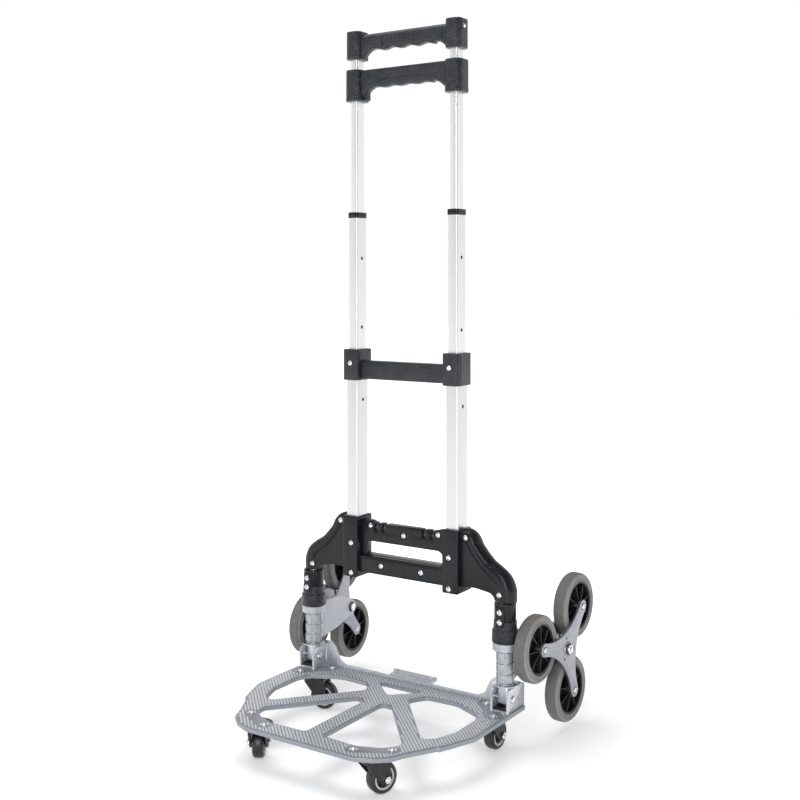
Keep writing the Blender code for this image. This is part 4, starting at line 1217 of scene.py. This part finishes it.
def rear_lip():
    """A tab behind the flange with a rolled edge."""
    tab = bevelled(block((-0.0360, 0.0121, 0.0600), (0.0360, 0.0252, 0.0632)), 0.0008, 2)
    end = [(0, 0.0365), (0.0024, 0.0365), (0.0031, 0.0357)]
    return gathered([tab, lathe(both_faces(end), facing((0, 0.0248, 0.0634), (1, 0, 0)), 40)])


def plate_fasteners():
    """Screw heads and washers on the plate, and nuts under the casters' mounts."""
    washer = [(0.0030, 0.0007), (0.0056, 0.0007), (0.0060, 0.0002), (0.0060, -0.0004), (0.0030, -0.0004)]
    nut_height = 0.0034
    under = raised(-PLATE_THICKNESS - GAP - MOUNT_THICKNESS - nut_height)
    places = [Matrix.Translation(bolt) for bolt in PLATE_BOLTS]
    heads = [dome_screw(place, 0.0040, 0.0022) for place in places]
    washers = [lathe(washer, place, 32, ring=True) for place in places]
    nuts = [hex_nut(place @ under, 0.0044, nut_height) for place in places]
    for name, bodies in {"bolts": heads, "washers": washers, "nuts": nuts}.items():
        piece(gathered(bodies), f"toe_plate_{name}", "toe", ZINC)


toe_plate()
piece(rear_lip(), "rear_lip_pressing", "toe", LIT_PAINT, "rear_lip")
plate_fasteners()


# ---------- hinge brackets ----------

def hinge_bracket(side_name, side):
    """A folded U: two ears with rolled front edges on a flat base, closed at the back."""
    x = side * LEG_X
    base = PLATE_TOP + GAP
    pivot = facing((x, PIVOT_Y, PIVOT_Z), (1, 0, 0))
    rear = 0.0260
    front = -0.0212
    ear = [(front, base, 0.0005), (rear, base, 0.0005), (rear, EAR_TOP, 0.003), (front, EAR_TOP, 0.0095)]
    inside = EAR_OUTSIDE - 0.0020
    bracket = prism(rounded(ear), x - EAR_OUTSIDE, x + EAR_OUTSIDE, SIDE_VIEW)
    room = block((x - inside, -0.05, base + 0.0020), (x + inside, rear - 0.0020, EAR_TOP + 0.02))
    cut(bracket, room, cylinder(0.0033, 0.02, -0.02, pivot))
    bodies = [bevelled(bracket, 0.0007, 3, 35)]
    top = EAR_TOP - 0.0100 - base
    roll = [(0, top), (0.0010, top - 0.0001), (0.0019, top - 0.0012), (0.0019, 0.0016), (0.0026, 0), (0, 0)]
    for way in (-1, 1):
        ear_x = x + way * (EAR_OUTSIDE - 0.0013)
        bodies.append(lathe(roll, Matrix.Translation((ear_x, -0.0198, base)), 24))
    piece(gathered(bodies), f"hinge_{side_name}_bracket", "toe", PRESSED, f"hinge_bracket_{side_name}")

    # A black pad between the ears: partly black rubber, partly painted shade for the dark gap between the
    # ears
    pad_half = inside - 0.0006
    pad = block((x - pad_half, -0.0175, base + 0.0022), (x + pad_half, 0.0080, base + 0.0050))
    piece(bevelled(pad, 0.0008, 2), f"hinge_{side_name}_stop_pad_and_shade", "toe", HUB)

    seat = EAR_OUTSIDE + GAP
    end = seat + 0.0018
    pin = [(0, end - 0.0006), (0.0012, end - 0.0005), (0.0018, end), (0.0034, end - 0.0001)]
    pin += [(0.0046, seat + 0.0009), (0.0050, seat), (0.0030, seat)]
    pin = lathe(both_faces(pin), pivot, 32)
    piece(pin, f"hinge_{side_name}_rivet", "toe", ZINC, f"hinge_pin_{side_name}")


for side_name, side in SIDES.items():
    hinge_bracket(side_name, side)


# ---------- casters ----------

MOUNT_TURN = {"front": math.radians(29.5), "rear": math.radians(130.9)}
CHEEK = [
    (-0.0150, 0.0465, 0), (-0.0148, 0.0400, 0.003), (0.0062, 0.0150, 0.0045), (0.0146, 0.0118, 0.0060),
    (0.0200, 0.0180, 0.005), (0.0178, 0.0380, 0.006), (0.0150, 0.0465, 0),
]


def caster_axes(x, y, heading):
    trail = Vector((math.cos(heading), math.sin(heading), 0))
    up = Vector((0, 0, 1))
    matrix = Matrix((trail, up, trail.cross(up))).transposed().to_4x4()
    return Matrix.Translation((x, y, 0)) @ matrix


def caster_fork(place, axes, x, y):
    outside = 0.0122
    inside = 0.0094
    top = PLATE_TOP - PLATE_THICKNESS - 2 * GAP - MOUNT_THICKNESS
    edge = [(0, 0), (0.0158, 0), (0.0168, -0.0006), (0.0173, -0.0020), (0.0170, -0.0038), (0.0160, -0.0046)]
    disc = [(radius, top + drop) for radius, drop in edge + [(0, -0.0046)]]
    fork = lathe(disc, Matrix.Translation((x, y, 0)), 48)
    cheeks = prism(rounded(CHEEK, 6), -outside, outside, axes)
    room = prism([(-0.05, 0.0), (0.06, 0.0), (0.06, 0.0416), (-0.05, 0.0416)], -inside, inside, axes)
    join(fork, bevelled(cut(cheeks, room), 0.0008, 3, 40))
    axle = axes @ Matrix.Translation((CASTER_TRAIL, CASTER_RADIUS, 0))
    seat = [(0, 0.0008), (0.0066, 0.0008), (0.0070, 0.0003), (0.0070, -0.0008), (0, -0.0008)]
    for way in (-1, 1):
        join(fork, lathe(seat, axle @ raised(way * (outside - 0.0006)), 32))
    piece(fork, f"caster_{place}_fork", f"caster_{place}", STEEL, f"caster_fork_{place}")

    end = [(0, 0.0162), (0.0024, 0.0161), (0.0029, 0.0155)]
    nuts = [hex_nut(axle @ raised(low), 0.0048, 0.0030) for low in (0.0124, -0.0154)]
    bolt = gathered([lathe(both_faces(end), axle, 24)] + nuts)
    piece(bolt, f"caster_{place}_axle", f"caster_{place}", ZINC)


def caster_wheel(place, axes):
    """A round-shouldered tyre, a pale rim ring and a dark dished centre."""
    axle = axes @ Matrix.Translation((CASTER_TRAIL, CASTER_RADIUS, 0))
    body = f"caster_wheel_{place}"
    side = [(0.0140, 0.0070), (0.0156, 0.0078)] + arc((CASTER_RADIUS - 0.0044, 0.0036), 0.0044, 84, 8, 6)
    piece(lathe(both_faces(side), axle, 64, ring=True), f"{body}_tyre", body, CASTER_TYRE, body)
    rim = [(0.0116, 0.0058), (0.0122, 0.0074), (0.0136, 0.0078), (0.0143, 0.0073)]
    piece(lathe(both_faces(rim), axle, 56, ring=True), f"{body}_rim", body, CASTER_RIM)
    centre = [(0.0034, 0.0082), (0.0056, 0.0082), (0.0062, 0.0076)]
    centre += [(0.0068, 0.0050), (0.0112, 0.0046), (0.0118, 0.0056)]
    rib = [(0.0064, 0.0044), (0.0064, 0.0072), (0.0115, 0.0062), (0.0115, 0.0044)]
    hub = [lathe(both_faces(centre), axle, 48, ring=True)] + spoke_ribs(rib, 6, 0, axle)
    piece(gathered(hub), f"{body}_hub", body, HUB)


def caster_mount(place, x, y, turn):
    """A flat plate, wider along its two bolts, under the toe plate."""
    high = PLATE_TOP - PLATE_THICKNESS - GAP
    outline = [(0.0340, 0, 0.008), (0, 0.0240, 0.018), (-0.0340, 0, 0.008), (0, -0.0240, 0.018)]
    axes = Matrix.Translation((x, y, 0)) @ Matrix.Rotation(turn, 4, "Z")
    plate = bevelled(prism(rounded(outline), high - MOUNT_THICKNESS, high, axes), 0.0005, 2, 50)
    piece(plate, f"caster_{place}_mount", "toe", STEEL, f"caster_mount_{place}")


for place, (x, y, heading) in CASTERS.items():
    row = place.split("_")[0]
    caster_mount(place, x, y, MOUNT_TURN[row] if x > 0 else math.pi - MOUNT_TURN[row])
    axes = caster_axes(x, y, heading)
    caster_fork(place, axes, x, y)
    caster_wheel(place, axes)


# ---------- hidden lock rods keep their CAD shape ----------

for side_name in SIDES:
    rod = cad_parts[f"lock_rod_{side_name}"]
    rod.data.materials.clear()
    rod.data.materials.append(ZINC.material)


# ---------- floor, light and camera ----------

DARK_SIDE = (0.55, -0.82, 0.10)

def studio_floor():
    """A wide light table: it glows a little, and evenly so far from the object."""
    finish = Finish("studio_floor", (0.80, 0.80, 0.80), 0.6)
    finish.color(finish.noise(1.5, 3.0), 0.3, 0.7, (0.79, 0.79, 0.79), (0.82, 0.82, 0.82))
    finish.gloss(finish.noise(3.0, 3.0), 0.3, 0.7, 0.55, 0.65)
    finish.shader.inputs["Specular IOR Level"].default_value = 0.2
    reach = finish.nodes.new("ShaderNodeVectorMath")
    reach.operation = "LENGTH"
    finish.links.new(finish.place, reach.inputs[0])
    glow = finish.ramp(reach.outputs["Value"], 0.30, 0.80, 0.40, 0.98)
    finish.links.new(glow, finish.shader.inputs["Emission Color"])
    finish.shader.inputs["Emission Strength"].default_value = 1.0
    shape = bmesh.new()
    rows = [[shape.verts.new((x * 0.5, y * 0.5, 0)) for x in range(-24, 25)] for y in range(-24, 25)]
    for near, far in zip(rows, rows[1:]):
        for k in range(len(near) - 1):
            shape.faces.new((near[k], near[k + 1], far[k + 1], far[k]))
    floor = new_object("studio_floor", shape)
    floor.data.materials.append(finish.material)
    floor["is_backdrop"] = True


def studio_world():
    """White all round but for the dark side of the studio, where the camera stands."""
    world = bpy.data.worlds.new("studio")
    bpy.context.scene.world = world
    world.use_nodes = True
    nodes = world.node_tree.nodes
    links = world.node_tree.links

    def fading(value, start, end, shade):
        """White up to start, and shade from end on."""
        ramp = nodes.new("ShaderNodeValToRGB")
        for stop, position, color in zip(ramp.color_ramp.elements, (start, end), ((1, 1, 1), shade)):
            stop.position = position
            stop.color = (*color, 1)
        links.new(value, ramp.inputs["Fac"])
        return ramp.outputs["Color"]

    place = nodes.new("ShaderNodeTexCoord").outputs["Generated"]
    towards_dark = nodes.new("ShaderNodeVectorMath")
    towards_dark.operation = "DOT_PRODUCT"
    towards_dark.inputs[1].default_value = DARK_SIDE
    links.new(place, towards_dark.inputs[0])
    split = nodes.new("ShaderNodeSeparateXYZ")
    links.new(place, split.inputs[0])
    walls = nodes.new("ShaderNodeMix")
    walls.data_type = "RGBA"
    walls.blend_type = "MULTIPLY"
    walls.inputs["Factor"].default_value = 1.0
    links.new(fading(towards_dark.outputs["Value"], 0.30, 0.85, (0.06, 0.06, 0.065)), walls.inputs["A"])
    links.new(fading(split.outputs["Z"], 0.30, 0.60, (0.30, 0.30, 0.31)), walls.inputs["B"])
    ray = nodes.new("ShaderNodeLightPath")
    mix = nodes.new("ShaderNodeMix")
    mix.data_type = "RGBA"
    links.new(ray.outputs["Is Camera Ray"], mix.inputs["Factor"])
    links.new(walls.outputs["Result"], mix.inputs["A"])
    mix.inputs["B"].default_value = (1, 1, 1, 1)
    background = nodes["Background"]
    links.new(mix.outputs["Result"], background.inputs["Color"])
    background.inputs["Strength"].default_value = 1.0


def softbox(name, location, target, size, power):
    light = bpy.data.lights.new(name, "AREA")
    light.shape = "RECTANGLE"
    light.size = size[0]
    light.size_y = size[1]
    light.energy = power
    lamp = bpy.data.objects.new(name, light)
    bpy.context.scene.collection.objects.link(lamp)
    lamp.matrix_world = facing(location, Vector(location) - Vector(target))


def studio_camera():
    camera = bpy.data.cameras.new("view")
    camera.lens = 53.05
    camera.sensor_width = 36
    camera.shift_x = 0.0015
    camera.shift_y = -0.1567
    holder = bpy.data.objects.new("view", camera)
    bpy.context.scene.collection.objects.link(holder)
    holder.location = (0.9285, -1.411 + POST_PLANE_Y, 0.644)
    holder.rotation_euler = (math.radians(90), 0, math.radians(33.683))
    bpy.context.scene.camera = holder


studio_floor()
studio_world()
softbox("overhead", (-0.3, -0.2, 2.3), (0, 0, 0.2), (1.5, 1.5), 26)
softbox("strip", (0.72, -1.75, 0.85), (0, 0, 0.45), (0.20, 1.5), 16)
studio_camera()
bpy.context.scene.view_settings.view_transform = "Standard"

[[list(corner) for corner in bounds] for bounds in (CAD_BOX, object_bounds())]
